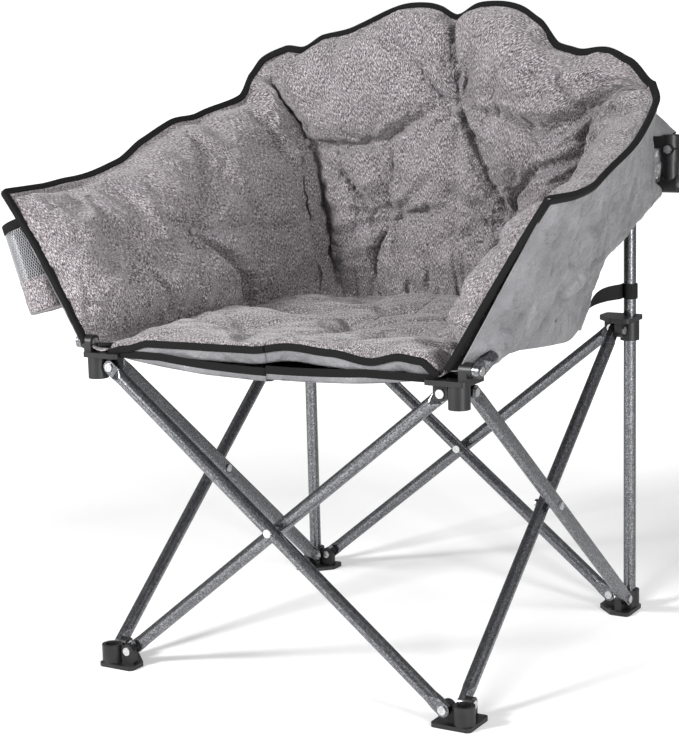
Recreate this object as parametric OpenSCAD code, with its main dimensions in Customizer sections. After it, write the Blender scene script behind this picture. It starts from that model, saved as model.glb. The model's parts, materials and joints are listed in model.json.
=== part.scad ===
// Folding club chair: four crossed pairs of steel tubes fold a padded bucket seat into a bundle.
// +X is the sitter's left, -Y is the front, +Z is up, and the chair stands on z = 0.

/* [Frame] */
// Distance between neighbouring corner axes, left to right and front to back
corner_gap = 575; // [540:5:610]
// Distance between neighbouring corner axes when the chair is folded
folded_gap = 118; // [112:1:150]
// Height of the bars' pivots on the feet
foot_pivot_z = 24; // [22:1:28]
// Height of the bars' pivots on the hubs
hub_pivot_z = 446; // [436:1:452]
// Distance from a corner axis to a pivot beside it
pivot_inset = 27; // [27:0.5:30]
// Outside diameter of the round tubes
tube_d = 19; // [17:0.5:20]
// Wall thickness of every tube
tube_wall = 1.2; // [1:0.1:2]
// Thickness of a bar where it is pressed flat for a rivet
flat_t = 9; // [8:0.5:10]
// Length of a pressed flat end, from its rivet to the round tube
flat_len = 24; // [20:1:30]
// Width of the oval bars that carry the front hubs at the sides
oval_w = 24; // [21:0.5:26]
// Thickness of the oval bars
oval_t = 12; // [10:0.5:13]
// Height of the top end of the rear posts
post_top_z = 735; // [733:1:755]

/* [Rivets] */
// Diameter of a rivet's shank
rivet_d = 6; // [5:0.5:6.5]
// Diameter of a rivet's head
rivet_head_d = 12; // [10:0.5:13]
// Height of a rivet's head
rivet_head_h = 2.2; // [1.5:0.1:2.5]
// Radial play of a bar on its rivet
rivet_play = 0.05; // [0.03:0.01:0.08]
// Gap between faces that turn against each other
face_gap = 0.5; // [0.4:0.1:0.8]

/* [Feet and hubs] */
// Thickness of the lugs that hold the bars
lug_t = 11; // [10:0.5:11.5]
// Radius of a lug round its pivot
lug_r = 10.5; // [10:0.5:11]
// Distance from a corner's plane to the middle of its lugs
lug_offset = 4.5; // [4:0.1:5]
// Thickness of a foot's base
foot_base_t = 6; // [5:0.5:8]
// Height of the socket at a foot's corner
foot_socket_h = 32; // [28:1:34]
// Outside radius of a foot's socket
foot_socket_r = 15; // [14:0.5:15.5]
// Reach of a foot and a hub plate from the corner axis towards the middle
inner_reach = 44; // [42:1:46]
// Thickness of a hub's top plate
plate_t = 7; // [5:0.5:8]
// Height from the bars' pivots to the top of a hub's plate
plate_rise = 20; // [19:0.5:22]
// Reach of a hub's plate outwards from the corner axis
plate_out = 16; // [15:0.5:17]
// Depth of a hub's boss below the pivots
boss_drop = 18; // [14:1:22]
// Outside radius of a hub's boss
boss_r = 14.5; // [14:0.5:15]
// Radial play of a rear hub on its post
slide_play = 0.4; // [0.3:0.05:0.6]
// Radius of the small corners of the mouldings
corner_r = 6; // [4:0.5:8]

/* [Arms and arch] */
// Distance from a corner's plane to the front arm tube, outwards
arm_out = 27; // [27:0.5:30]
// Gap between the two arm tubes where they lie side by side
arm_side_gap = 2; // [1.5:0.1:3]
// Height of the front arm pivot above the hub's plate
arm_rise = 13; // [12.5:0.5:15]
// Drop from a rear post's top to the rear arm pivot
arm_pivot_drop = 68; // [60:1:75]
// Length that each arm tube runs past the elbow
elbow_lap = 15; // [12:1:20]
// Drop from a rear post's top to the pivot at the foot of the arch
arch_pivot_drop = 16; // [13:1:18]
// Rise of the arch from its pivots to its middle
arch_rise = 144; // [126:2:156]
// Distance from the rear corner plane back to the arch
arch_back = 32; // [31:0.5:36]
// Gap between the two ends of the arch at the middle
arch_mid_gap = 40; // [36:1:60]

/* [Cover] */
// Distance that the wings' front corners stand out past the corner axes
wing_flare = 146.5; // [136.5:2:152.5]
// Drop from a rear post's top to the wings' top edge at the front
wing_drop = 35; // [25:1:50]
// Height of the back's top edge over the arch, in the middle
back_over_arch = 62; // [32:2:82]
// Height of the cover's lower edge at the back
cover_low_z = 445; // [443:1:451]
// Gap between the cover and what it lies against
soft_gap = 0.3; // [0.2:0.1:0.6]
// Greatest thickness of the padded shell
shell_pad_t = 56; // [40:1:60]
// Thickness of the padding at its bound edges
edge_t = 12; // [9:0.5:14]
// Depth of a sewn tuft
tuft_depth = 30; // [10:1:34]
// Radius of the hollow round a sewn tuft
tuft_r = 40; // [30:1:50]
// Depth of a crease between two tufts
crease_depth = 20; // [8:1:24]
// Width of a crease, from its middle to where it fades
crease_w = 24; // [16:1:32]
// Distance from the corner axes in to the seat's front corners
seat_inset = 25.5; // [23.5:1:37.5]
// Distance that each side of the seat runs in towards the back
seat_taper = 40; // [36:1:62]
// Rise of the seat's crown over its edge
seat_crown = 26; // [15:1:32]
// Thickness of the sheet that is slung under the seat
sling_t = 4; // [2.5:0.5:5]
// Sag of that sheet in the middle
sling_sag = 18; // [8:1:20]

/* [Cup pocket] */
// Depth of the cup pocket
pocket_h = 135; // [110:1:140]
// Outside radius of the cup pocket
pocket_r = 40; // [36:0.5:42]
// Thickness of the pocket's cloth
pocket_t = 3; // [2.5:0.1:4]
// Lean of the pocket out of the upright, in degrees
pocket_lean = 19; // [17:0.5:24]

/* [Hidden] */
$fn = 48;
// A cut runs past its faces by this much
cut = 1;
// Sides of the small outlines inside a hull
hull_sides = 32;
tube_r = tube_d / 2;
half_gap = corner_gap / 2;
rivet_hole_r = rivet_d / 2 + rivet_play;
half_flat = flat_t / 2;
// Distance from the middle of a lug to the middle of the bar beside it
bar_step = lug_t / 2 + face_gap + half_flat;
// Places of the outer and the inner bars, inwards from the corner's plane
outer_bar_y = lug_offset - bar_step;
inner_bar_y = lug_offset + bar_step;
span = corner_gap - 2 * pivot_inset;
rise = hub_pivot_z - foot_pivot_z;
bar_len = sqrt(span * span + rise * rise);
open_angle = atan2(rise, span);
plate_top_z = hub_pivot_z + plate_rise;
arch_y = half_gap + arch_back;
arm_rear_z = post_top_z - arm_pivot_drop;
arch_pivot_z = post_top_z - arch_pivot_drop;
arch_top_z = arch_pivot_z + arch_rise;
wing_half_w = half_gap + wing_flare;
back_top_z = arch_top_z + back_over_arch;
wing_top_z = post_top_z - wing_drop;
seat_half_w = half_gap - seat_inset;
seat_half_w_back = seat_half_w - seat_taper;
steel = "#6d6e70";
moulding = "#1b1b1c";
zinc = "#c9cacb";
cloth = "#8a8688";
lining = "#a9abad";
webbing = "#161617";

// Points of a convex outline with its corners rounded
function unit(v) = v / norm(v);
function corner_arc(before, at, after, r, steps) =
    let (
        a = unit(before - at),
        b = unit(after - at),
        half = acos(a * b) / 2,
        middle = at + unit(a + b) * r / sin(half),
        from = at + a * r / tan(half) - middle,
        to = at + b * r / tan(half) - middle,
        turn = 2 * (90 - half),
        side = sign(from[0] * to[1] - from[1] * to[0])
    )
    [for (i = [0 : steps])
        let (w = side * turn * i / steps)
        middle + [from[0] * cos(w) - from[1] * sin(w), from[0] * sin(w) + from[1] * cos(w)]];
function rounded(points, r, steps = 5) =
    let (n = len(points))
    [for (i = [0 : n - 1])
        each corner_arc(points[(i + n - 1) % n], points[i], points[(i + 1) % n], r, steps)];

// The frame is the same seen from each side, so side 0, the front, is turned to make the others:
// 1 is the right of the picture, 2 the rear and 3 the left. Corner k is at the left end of side k.
module on_side(k) {
    rotate([0, 0, 90 * k])
        translate([0, -half_gap, 0])
            children();
}
module on_corner(k) {
    on_side(k)
        translate([-half_gap, 0, 0])
            children();
}
// A pin or hole across a side's plane, from one depth to another
module across(r, from_y, to_y) {
    translate([0, from_y, 0])
        rotate([-90, 0, 0])
            cylinder(r = r, h = to_y - from_y);
}
module rivet(from_y, to_y) {
    across(rivet_d / 2, from_y, to_y);
    across(rivet_head_d / 2, from_y - rivet_head_h, from_y);
    across(rivet_head_d / 2, to_y, to_y + rivet_head_h);
}
module tube_section(r, w) {
    circle(r = r);
    if (w > 2 * r) {
        translate([0, -r])
            square([w - 2 * r, 2 * r]);
        translate([w - 2 * r, 0])
            circle(r = r);
    }
}

// Bars: a round or oval tube pressed flat at both ends, lying along +X from its first rivet.
// This share of a pressed end is quite flat, and the rest swells to the tube
flat_share = 0.55;
skin = 0.5;
module flat_end(thick, wide) {
    rotate([90, 0, 0])
        linear_extrude(flat_t, center = true)
            union() {
                circle(r = tube_r);
                translate([0, -tube_r])
                    square([flat_len * flat_share, tube_d]);
            }
    hull() {
        translate([flat_len * flat_share - skin / 2, 0, 0])
            cube([skin, flat_t, tube_d], center = true);
        translate([flat_len, 0, 0])
            tube_length(thick, wide, skin, $fn = hull_sides);
    }
}
module tube_length(thick, wide, length) {
    rotate([90, 0, 90])
        translate([0, -(wide - thick) / 2])
            linear_extrude(length)
                rotate(90)
                    tube_section(thick / 2, wide);
}
module bar(thick, wide) {
    color(steel)
        difference() {
            union() {
                translate([flat_len, 0, 0])
                    tube_length(thick, wide, bar_len - 2 * flat_len);
                flat_end(thick, wide);
                translate([bar_len, 0, 0])
                    rotate([0, 180, 0])
                        flat_end(thick, wide);
            }
            translate([2 * flat_len, 0, 0])
                tube_length(thick - 2 * tube_wall, wide - 2 * tube_wall, bar_len - 4 * flat_len);
            for (x = [0, bar_len / 2, bar_len])
                translate([x, 0, 0])
                    across(rivet_hole_r, -thick, thick);
        }
}
module inner_bar(k, thick = tube_d, wide = tube_d) {
    on_side(k)
        translate([-span / 2, inner_bar_y, foot_pivot_z])
            rotate([0, -open_angle, 0])
                bar(thick, wide);
}
module outer_bar(k, thick = tube_d, wide = tube_d) {
    on_side(k)
        translate([span / 2, outer_bar_y, foot_pivot_z])
            rotate([0, open_angle - 180, 0])
                bar(thick, wide);
}
module cross_rivet(k, outer_thick = tube_d, inner_thick = tube_d) {
    spacer_from = outer_bar_y + outer_thick / 2 + face_gap / 2;
    spacer_to = inner_bar_y - inner_thick / 2 - face_gap / 2;
    color(zinc)
        on_side(k)
            translate([0, 0, (foot_pivot_z + hub_pivot_z) / 2]) {
                rivet(outer_bar_y - outer_thick / 2, inner_bar_y + inner_thick / 2 + face_gap);
                across(rivet_head_d / 2, spacer_from, spacer_to);
            }
}

// Outline of a foot and of a hub plate: a square with its inward corner cut off
function corner_outline(out, reach) = [
    [-out, -out], [reach, -out], [reach, reach / 3], [reach / 3, reach], [-out, reach]];
module lug(base_z, pivot_z, height) {
    translate([pivot_inset - lug_r, lug_offset - lug_t / 2, base_z])
        cube([2 * lug_r, lug_t, height]);
    translate([pivot_inset, 0, pivot_z])
        across(lug_r, lug_offset - lug_t / 2, lug_offset + lug_t / 2);
}
module on_both_lugs() {
    children();
    mirror([1, -1, 0])
        children();
}
module lug_hole(z) {
    translate([pivot_inset, 0, z])
        across(rivet_hole_r, lug_offset - lug_t, lug_offset + lug_t);
}

// Feet: a base, a socket at the corner and two lugs
module foot(k) {
    color(moulding)
        on_corner(k)
            difference() {
                union() {
                    linear_extrude(foot_base_t)
                        polygon(rounded(corner_outline(foot_socket_r, inner_reach), corner_r));
                    cylinder(r = foot_socket_r, h = foot_socket_h);
                    on_both_lugs()
                        lug(0, foot_pivot_z, foot_pivot_z);
                }
                translate([0, 0, foot_base_t])
                    cylinder(r = tube_r + rivet_play, h = foot_socket_h);
                on_both_lugs()
                    lug_hole(foot_pivot_z);
            }
}
// At a foot the inner bar of side k starts, and the outer bar of the side before it
module foot_rivets(k) {
    color(zinc)
        on_corner(k) {
            translate([pivot_inset, 0, foot_pivot_z])
                rivet(lug_offset - lug_t / 2, inner_bar_y + half_flat + face_gap / 2);
            mirror([1, -1, 0])
                translate([pivot_inset, 0, foot_pivot_z])
                    rivet(outer_bar_y - half_flat - face_gap / 2, lug_offset + lug_t / 2);
        }
}
module post(k) {
    color(steel)
        on_corner(k)
            translate([0, 0, foot_base_t])
                difference() {
                    cylinder(r = tube_r, h = post_top_z - foot_base_t);
                    translate([0, 0, -cut])
                        cylinder(r = tube_r - tube_wall, h = post_top_z + cut);
                }
}

// Hubs: a wide top plate over two lugs and a boss, bored through on the rear posts
module hub_solid() {
    translate([0, 0, hub_pivot_z + plate_rise - plate_t])
        linear_extrude(plate_t)
            polygon(rounded(corner_outline(plate_out, inner_reach), corner_r));
    translate([0, 0, hub_pivot_z - boss_drop])
        cylinder(r = boss_r, h = boss_drop + plate_rise - cut);
    on_both_lugs()
        lug(hub_pivot_z, hub_pivot_z, plate_rise - cut);
}
module hub_holes() {
    on_both_lugs()
        lug_hole(hub_pivot_z);
}
module slide_hub(k) {
    color(moulding)
        on_corner(k)
            difference() {
                hub_solid();
                hub_holes();
                translate([0, 0, hub_pivot_z - boss_drop - cut])
                    cylinder(r = tube_r + slide_play, h = boss_drop + plate_rise + 2 * cut);
            }
}
// A front hub carries the arm's pivot on a bracket at the side of its plate
arm_pivot_z = plate_top_z + arm_rise;
bracket_w = 12;
bracket_in_x = half_gap + plate_out - bracket_w;
bracket_out_x = half_gap + arm_out - half_flat - face_gap;
module arm_bracket(side) {
    mirror([side > 0 ? 0 : 1, 0, 0])
        translate([0, -half_gap, 0])
            difference() {
                union() {
                    translate([bracket_in_x, -lug_r, plate_top_z - plate_t])
                        cube([bracket_w, 2 * lug_r, plate_t + arm_rise]);
                    translate([bracket_in_x, 0, arm_pivot_z])
                        rotate([0, 90, 0])
                            cylinder(r = lug_r, h = bracket_out_x - bracket_in_x);
                }
                translate([bracket_in_x - cut, 0, arm_pivot_z])
                    rotate([0, 90, 0])
                        cylinder(r = rivet_hole_r, h = bracket_out_x - bracket_in_x + 2 * cut);
            }
}
module front_hub(k, side) {
    color(moulding) {
        on_corner(k)
            difference() {
                hub_solid();
                hub_holes();
            }
        arm_bracket(side);
    }
}
// At a hub the outer bar of side k ends, and the inner bar of the side before it
module hub_rivets(k) {
    color(zinc)
        on_corner(k) {
            translate([pivot_inset, 0, hub_pivot_z])
                rivet(outer_bar_y - half_flat - face_gap / 2, lug_offset + lug_t / 2);
            mirror([1, -1, 0])
                translate([pivot_inset, 0, hub_pivot_z])
                    rivet(lug_offset - lug_t / 2, inner_bar_y + half_flat + face_gap / 2);
        }
}

// Arms: two flat-ended tubes that lie side by side at a hidden elbow
arm_x = half_gap + arm_out;
rear_arm_x = arm_x + tube_d + arm_side_gap;
arm_run = corner_gap;
arm_climb = arm_rear_z - arm_pivot_z;
arm_angle = atan2(arm_climb, arm_run);
arm_len = sqrt(arm_run * arm_run + arm_climb * arm_climb);
arm_tube_len = arm_len / 2 + elbow_lap;
module arm_tube() {
    color(steel)
        rotate([0, 0, 90])
            difference() {
                union() {
                    flat_end(tube_d, tube_d);
                    translate([flat_len, 0, 0])
                        tube_length(tube_d, tube_d, arm_tube_len - flat_len);
                }
                translate([2 * flat_len, 0, 0])
                    tube_length(tube_d - 2 * tube_wall, tube_d - 2 * tube_wall, arm_tube_len);
                across(rivet_hole_r, -tube_d, tube_d);
            }
}
module front_arm_tube(side) {
    translate([side * arm_x, -half_gap, arm_pivot_z])
        rotate([arm_angle, 0, 0])
            arm_tube();
}
module rear_arm_tube(side) {
    translate([side * rear_arm_x, half_gap, arm_rear_z])
        rotate([180 + arm_angle, 0, 0])
            arm_tube();
}
// A pin along X from the inboard face to the outboard face, with a head at each end
module side_pin(side, from_x, to_x) {
    mirror([side > 0 ? 0 : 1, 0, 0])
        rotate([0, 0, -90])
            rivet(from_x, to_x);
}
module arm_pin(side) {
    color(zinc)
        translate([0, -half_gap, arm_pivot_z])
            side_pin(side, bracket_in_x, arm_x + half_flat + face_gap / 2);
}

// Knuckles: a cap on the post, a bridge, and a column with a drum for the arm and a boss for the arch
column_w = 24;
column_r = column_w / 2;
column_x = rear_arm_x + half_flat + face_gap + column_r;
// The drum stays within the flat part of the arm's pressed end
drum_r = flat_len * flat_share;
arch_boss_r = 9;
cap_over = 5;
cap_wall = 4;
collar_wall = 2.5;
collar_h = 18;
boss_from_y = -column_r - collar_wall;
knuckle_top_z = post_top_z + cap_over;
cap_low_z = arch_pivot_z;
cap_r = tube_r + cap_wall;
module column() {
    translate([0, 0, arm_rear_z])
        cylinder(r = column_r, h = knuckle_top_z - arm_rear_z);
    translate([-column_r, 0, arm_rear_z])
        rotate([0, 90, 0])
            cylinder(r = drum_r, h = column_w);
    for (top = [knuckle_top_z - cut, knuckle_top_z - cut - collar_h - collar_wall])
        translate([0, 0, top - collar_h])
            cylinder(r = column_r + collar_wall, h = collar_h);
    translate([0, 0, arch_pivot_z])
        across(arch_boss_r, boss_from_y, arch_back - half_flat - face_gap);
}
module knuckle(side) {
    color(moulding)
        mirror([side > 0 ? 0 : 1, 0, 0])
            translate([0, half_gap, 0])
                difference() {
                    union() {
                        translate([half_gap, 0, cap_low_z])
                            cylinder(r = cap_r, h = knuckle_top_z - cap_low_z);
                        translate([half_gap, -cap_r, cap_low_z + cut])
                            cube([column_x - half_gap, 2 * cap_r, knuckle_top_z - cap_low_z - 3 * cut]);
                        translate([column_x, 0, 0])
                            column();
                    }
                    translate([half_gap, 0, cap_low_z - cut])
                        cylinder(r = tube_r + rivet_play, h = post_top_z - cap_low_z + cut);
                    translate([column_x - column_w, 0, arm_rear_z])
                        rotate([0, 90, 0])
                            cylinder(r = rivet_hole_r, h = 2 * column_w);
                    translate([column_x, 0, arch_pivot_z])
                        across(rivet_hole_r, boss_from_y - cut, arch_back);
                }
}
module knuckle_rivets(side) {
    color(zinc) {
        translate([0, half_gap, arm_rear_z])
            side_pin(side, rear_arm_x - half_flat - face_gap / 2, column_x + column_r);
        translate([side * column_x, half_gap, arch_pivot_z])
            rivet(boss_from_y, arch_back + half_flat + face_gap / 2);
    }
}
// Arch: each half bends in one arc from its pivot to the middle
arch_half_w = column_x;
arch_h = arch_top_z - arch_pivot_z;
arch_r = (arch_half_w * arch_half_w + arch_h * arch_h) / (2 * arch_h);
arch_angle = asin(arch_half_w / arch_r);
function arc_share(length) = length / arch_r * 180 / PI;
module arch_tube(side) {
    arc_from = arc_share(arch_mid_gap / 2);
    arc_to = arch_angle - arc_share(flat_len);
    color(steel)
        mirror([side > 0 ? 0 : 1, 0, 0])
            translate([0, arch_y, 0])
                difference() {
                    union() {
                        translate([0, 0, arch_top_z - arch_r])
                            rotate([90, 0, 0])
                                rotate([0, 0, 90 - arc_to])
                                    rotate_extrude(angle = arc_to - arc_from, $fn = 96)
                                        translate([arch_r, 0])
                                            circle(r = tube_r, $fn = 32);
                        translate([arch_half_w, 0, arch_pivot_z])
                            rotate([0, 180 + arch_angle, 0])
                                flat_end(tube_d, tube_d);
                    }
                    translate([arch_half_w, 0, arch_pivot_z])
                        across(rivet_hole_r, -tube_d, tube_d);
                }
}

// Webbing: a strap round each rear post above its hub, and a tab on each front hub
strap_w = 16;
strap_t = 2;
strap_z = 495;
// The strap's tail runs to the corner of the padded shell
strap_shares = [0.43, 0.15];
module post_strap(side) {
    strap_r = tube_r + soft_gap;
    hold = outer_at(strap_shares[0], strap_shares[1]) - [half_gap, half_gap, 0];
    color(webbing)
        mirror([side > 0 ? 0 : 1, 0, 0])
            translate([half_gap, half_gap, strap_z])
                rotate([0, 0, atan2(hold[1], hold[0])])
                    difference() {
                        union() {
                            cylinder(r = strap_r + strap_t, h = strap_w);
                            translate([0, -strap_t / 2, 0])
                                cube([norm([hold[0], hold[1]]) - strap_t / 2, strap_t, strap_w]);
                        }
                        translate([0, 0, -cut])
                            cylinder(r = strap_r, h = strap_w + 2 * cut);
                    }
}
tab_w = 26;
tab_len = 36;
tab_t = 2.5;
module corner_tab(side) {
    color(webbing)
        translate([side * (half_gap - inner_reach / 2), -half_gap + inner_reach / 2, plate_top_z])
            rotate([0, 0, 45])
                translate([-tab_w / 2, -tab_len / 2, 0])
                    cube([tab_w, tab_len, tab_t]);
}

// Cover. Stations run from the middle of the back (0) round to a wing's front edge (1).
// Each row is [x, y, z]: x as a share of wing_half_w, y of half_gap, z of back_top_z. A wing's last
// stations keep their height over wing_top_z, which stands at this share of the back's height
wing_height_share = 0.758;
wing_end_stations = 3;
function rim_shares() = [
    [0, 1.012, 1], [0.11, 1.006, 1.013], [0.24, 0.985, 1.004], [0.38, 0.955, 0.972],
    [0.51, 0.93, 0.949], [0.66, 0.905, 0.938], [0.77, 0.85, 0.914], [0.82, 0.71, 0.876],
    [0.872, 0.42, 0.846], [0.905, 0.13, 0.815], [0.922, -0.16, 0.785], [0.95, -0.44, 0.763],
    [0.982, -0.74, 0.758], [1, -1.04, 0.758]];
function mid_shares() = [
    [0, 0.99], [0.1, 0.99], [0.22, 0.975], [0.345, 0.95],
    [0.455, 0.925], [0.575, 0.885], [0.66, 0.82], [0.712, 0.69],
    [0.725, 0.40], [0.714, 0.12], [0.718, -0.17], [0.745, -0.45],
    [0.778, -0.745], [0.822, -1.035]];
function low_shares() = [
    [0, 0.91], [0.095, 0.91], [0.2, 0.905], [0.31, 0.9],
    [0.41, 0.88], [0.5, 0.835], [0.555, 0.75], [0.59, 0.63],
    [0.625, 0.37], [0.65, 0.1], [0.662, -0.18], [0.672, -0.46],
    [0.675, -0.75], [0.681, -1.03]];
stations = len(rim_shares()) - 1;
// Between these shares of the way round, the lower edge climbs over the arms' brackets
climb_shares = [0.55, 0.85];
cover_front_z = arm_pivot_z + lug_r + soft_gap;
function low_z(a) = cover_low_z + (cover_front_z - cover_low_z)
    * min(1, max(0, (a - climb_shares[0]) / (climb_shares[1] - climb_shares[0])));
function rim_point(i) =
    let (p = rim_shares()[i])
    [p[0] * wing_half_w, p[1] * half_gap,
        i < stations - wing_end_stations ? p[2] * back_top_z
            : wing_top_z + (p[2] - wing_height_share) * back_top_z];
function plan_point(p) = [p[0] * wing_half_w, p[1] * half_gap];
function low_point(i) = concat(plan_point(low_shares()[i]), low_z(i / stations));
function mid_point(i) = concat(plan_point(mid_shares()[i]), (rim_point(i)[2] + low_point(i)[2]) / 2);
function table_point(row, i) = row == 0 ? low_point(i) : row == 1 ? mid_point(i) : rim_point(i);
function mirror_end(p, i) = i < 0 ? [-p[0], p[1], p[2]] : p;
function row_point(row, i) = mirror_end(table_point(row, min(stations, abs(i))), i);
// A smooth line through the stations
function smooth(row, a) =
    let (
        i = min(stations - 1, floor(a * stations)),
        f = a * stations - i,
        p0 = row_point(row, i - 1),
        p1 = row_point(row, i),
        p2 = row_point(row, i + 1),
        p3 = row_point(row, i + 2)
    )
    p1 + f * ((p2 - p0) / 2 + f * (p0 - 2.5 * p1 + 2 * p2 - p3 / 2
        + f * (1.5 * (p1 - p2) + (p3 - p0) / 2)));
function outer_at(s, v) =
    let (
        a = abs(s),
        low = smooth(0, a),
        mid = smooth(1, a),
        rim = smooth(2, a),
        p = low * (1 - v) * (1 - 2 * v) + mid * 4 * v * (1 - v) + rim * v * (2 * v - 1)
    )
    [s < 0 ? -p[0] : p[0], p[1], p[2]];
function inward_at(s, v) =
    let (step = 0.01, d = outer_at(min(1, s + step), v) - outer_at(max(-1, s - step), v))
    unit([d[1], -d[0], 0]);
// Padding swells soon after its edges, and sinks at each tuft and crease
function swell(f) = pow(1 - pow(abs(2 * f - 1), 5), 0.5);
foot_share = 0.28;
function swell_up(v) = pow(min(1, v / foot_share), 1.3) * pow(1 - pow(v, 9), 0.5);
function tuft_at(p, tufts) = max([for (q = tufts) exp(-pow(norm(p - q) / tuft_r, 1.4))]);
// Distance from a point to the straight piece between two others
function line_gap(p, a, b) =
    let (w = max(0, min(1, (p - a) * (b - a) / ((b - a) * (b - a)))))
    norm(p - a - (b - a) * w);
// Tufts of the shell, each as [station, height] shares
back_tuft_shares = [[0.02, 0.69], [-0.165, 0.34], [0.18, 0.35]];
wing_tuft_shares = [[0.76, 0.52], [0.915, 0.53]];
// Creases of the shell, each as its two ends in shares and its share of the full depth
back_crease_shares = [
    [[0.02, 0.69], [0.01, 1], 1], [[0.02, 0.69], [0.115, 0.49], 1],
    [[0.115, 0.49], [0.18, 0.35], 0.9], [[-0.37, 0.66], [-0.18, 0.6], 0.7],
    [[-0.18, 0.6], [0.02, 0.69], 0.6], [[0.02, 0.69], [0.36, 0.76], 0.7],
    [[-0.165, 0.34], [-0.31, 0.59], 0.5], [[-0.165, 0.34], [-0.24, 0.05], 0.7],
    [[0.18, 0.35], [0.35, 0.62], 0.7], [[0.18, 0.35], [0.235, 0.04], 0.7]];
wing_crease_shares = [
    [[0.76, 0.52], [0.69, 0.84], 0.9], [[0.69, 0.84], [0.675, 0.97], 0.6],
    [[0.76, 0.52], [0.645, 0.05], 0.8], [[0.76, 0.52], [0.915, 0.53], 0.5]];
function crease_at(p, lines) =
    max([for (q = lines) let (a = q[0], b = q[1])
        q[2] * exp(-pow(line_gap(p, outer_at(a[0], a[1]), outer_at(b[0], b[1])) / crease_w, 2))]);
// Tufts of a seat half, as shares of its half width and of half_gap
seat_tuft_shares = [[0.45, -0.5], [0.45, 0.05], [0.45, 0.55]];
function shell_at(s, v, from_s, to_s, tufts, lines) =
    let (
        f = (s - from_s) / (to_s - from_s),
        t = edge_t + (shell_pad_t - edge_t) * swell(f) * swell_up(v),
        outer = outer_at(s, v),
        tuft = tuft_at(outer, [for (q = tufts) outer_at(q[0], q[1])]),
        sunk = max(tuft_depth * tuft, crease_depth * crease_at(outer, lines))
    )
    outer + inward_at(s, v) * (t - min(sunk, t - edge_t));

// A closed skin over two grids of points, the outer and the inner face of a padded piece
function grid_faces(n, m) =
    let (size = (n + 1) * (m + 1), row = m + 1)
    concat(
        [for (i = [0 : n - 1], j = [0 : m - 1])
            let (a = i * row + j) each [[a, a + row, a + 1], [a + 1, a + row, a + row + 1]]],
        [for (i = [0 : n - 1], j = [0 : m - 1])
            let (a = size + i * row + j) each [[a, a + 1, a + row], [a + 1, a + row + 1, a + row]]],
        [for (i = [0 : n - 1]) let (a = i * row) each [[a, size + a, a + row],
            [a + row, size + a, size + a + row]]],
        [for (i = [0 : n - 1]) let (a = i * row + m) each [[a, a + row, size + a],
            [a + row, size + a + row, size + a]]],
        [for (j = [0 : m - 1]) each [[j, j + 1, size + j], [j + 1, size + j + 1, size + j]]],
        [for (j = [0 : m - 1]) let (a = n * row + j) each [[a, size + a, a + 1],
            [a + 1, size + a, size + a + 1]]]);
module padded_shell(from_s, to_s, n, m, tufts, lines) {
    inner = [for (i = [0 : n], j = [0 : m])
        shell_at(from_s + (to_s - from_s) * i / n, j / m, from_s, to_s, tufts, lines)];
    outer = [for (i = [0 : n], j = [0 : m])
        outer_at(from_s + (to_s - from_s) * i / n, j / m)];
    polyhedron(concat(outer, inner), grid_faces(n, m), convexity = 6);
}
// Share of the way round at which the back ends and a wing begins, and the gap's share there
wing_from_share = 0.5;
seam_gap_share = 0.0008;
back_n = 33;
wing_n = 18;
shell_m = 16;
module wing(side) {
    color(cloth)
        mirror([side > 0 ? 0 : 1, 0, 0])
            padded_shell(wing_from_share + seam_gap_share, 1, wing_n, shell_m,
                wing_tuft_shares, wing_crease_shares);
}
module back_pad() {
    color(cloth)
        padded_shell(-wing_from_share, wing_from_share, back_n, shell_m,
            back_tuft_shares, back_crease_shares);
}

// Seat: two halves that part at the middle, over a slung sheet
seat_lead = 5;
seat_front_y = -half_gap - seat_lead;
seat_back_share = 0.83;
seat_back_y = half_gap * seat_back_share;
seat_mid_gap = 0.5;
seat_edge_z = plate_top_z + tab_t + soft_gap;
// The rear corners are rounded off from this share of half_gap on, by this share of the width
seat_round_share = 0.35;
seat_corner_share = 0.4;
function seat_half(y) =
    let (
        back = (seat_back_y - y) / (seat_back_y - seat_front_y),
        round_y = half_gap * seat_round_share,
        q = max(0, (y - round_y) / (seat_back_y - round_y))
    )
    (seat_half_w_back + (seat_half_w - seat_half_w_back) * sqrt(max(0, back)))
        * (1 - seat_corner_share * q * q);
function seat_plan(u, v) =
    let (y = seat_front_y + (seat_back_y - seat_front_y) * v)
    [seat_mid_gap + (seat_half(y) - seat_mid_gap) * u, y];
function seat_sag(u, v) = sling_sag * pow(1 - u * u, 2) * (1 - pow(2 * v - 1, 4));
function seat_low(u, v) = concat(seat_plan(u, v), seat_edge_z - seat_sag(u, v));
function seat_high(u, v) =
    let (
        low = seat_low(u, v),
        places = [for (q = seat_tuft_shares) concat([q[0] * seat_half_w, q[1] * half_gap], low[2])],
        t = edge_t + seat_crown * pow(1 - pow(u, 4), 0.6) * swell(v),
        tuft = tuft_at(low, places)
    )
    low + [0, 0, t - min(tuft_depth, t - edge_t) * tuft];
seat_n = 10;
seat_m = 16;
module seat_pad(side) {
    n = seat_n;
    m = seat_m;
    low = [for (i = [0 : n], j = [0 : m]) seat_low(i / n, j / m)];
    high = [for (i = [0 : n], j = [0 : m]) seat_high(i / n, j / m)];
    color(cloth)
        mirror([side > 0 ? 0 : 1, 0, 0])
            polyhedron(concat(low, high), grid_faces(n, m), convexity = 6);
}
// The sheet stops one step of the seat's grid short of its sides, inside the hub plates
module seat_sling(side) {
    n = seat_n - 1;
    m = seat_m;
    down = [0, 0, -soft_gap];
    high = [for (i = [0 : n], j = [0 : m]) seat_low(i / seat_n, j / m) + down];
    low = [for (p = high) p - [0, 0, sling_t]];
    color(lining)
        mirror([side > 0 ? 0 : 1, 0, 0])
            polyhedron(concat(low, high), grid_faces(n, m), convexity = 6);
}

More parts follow.
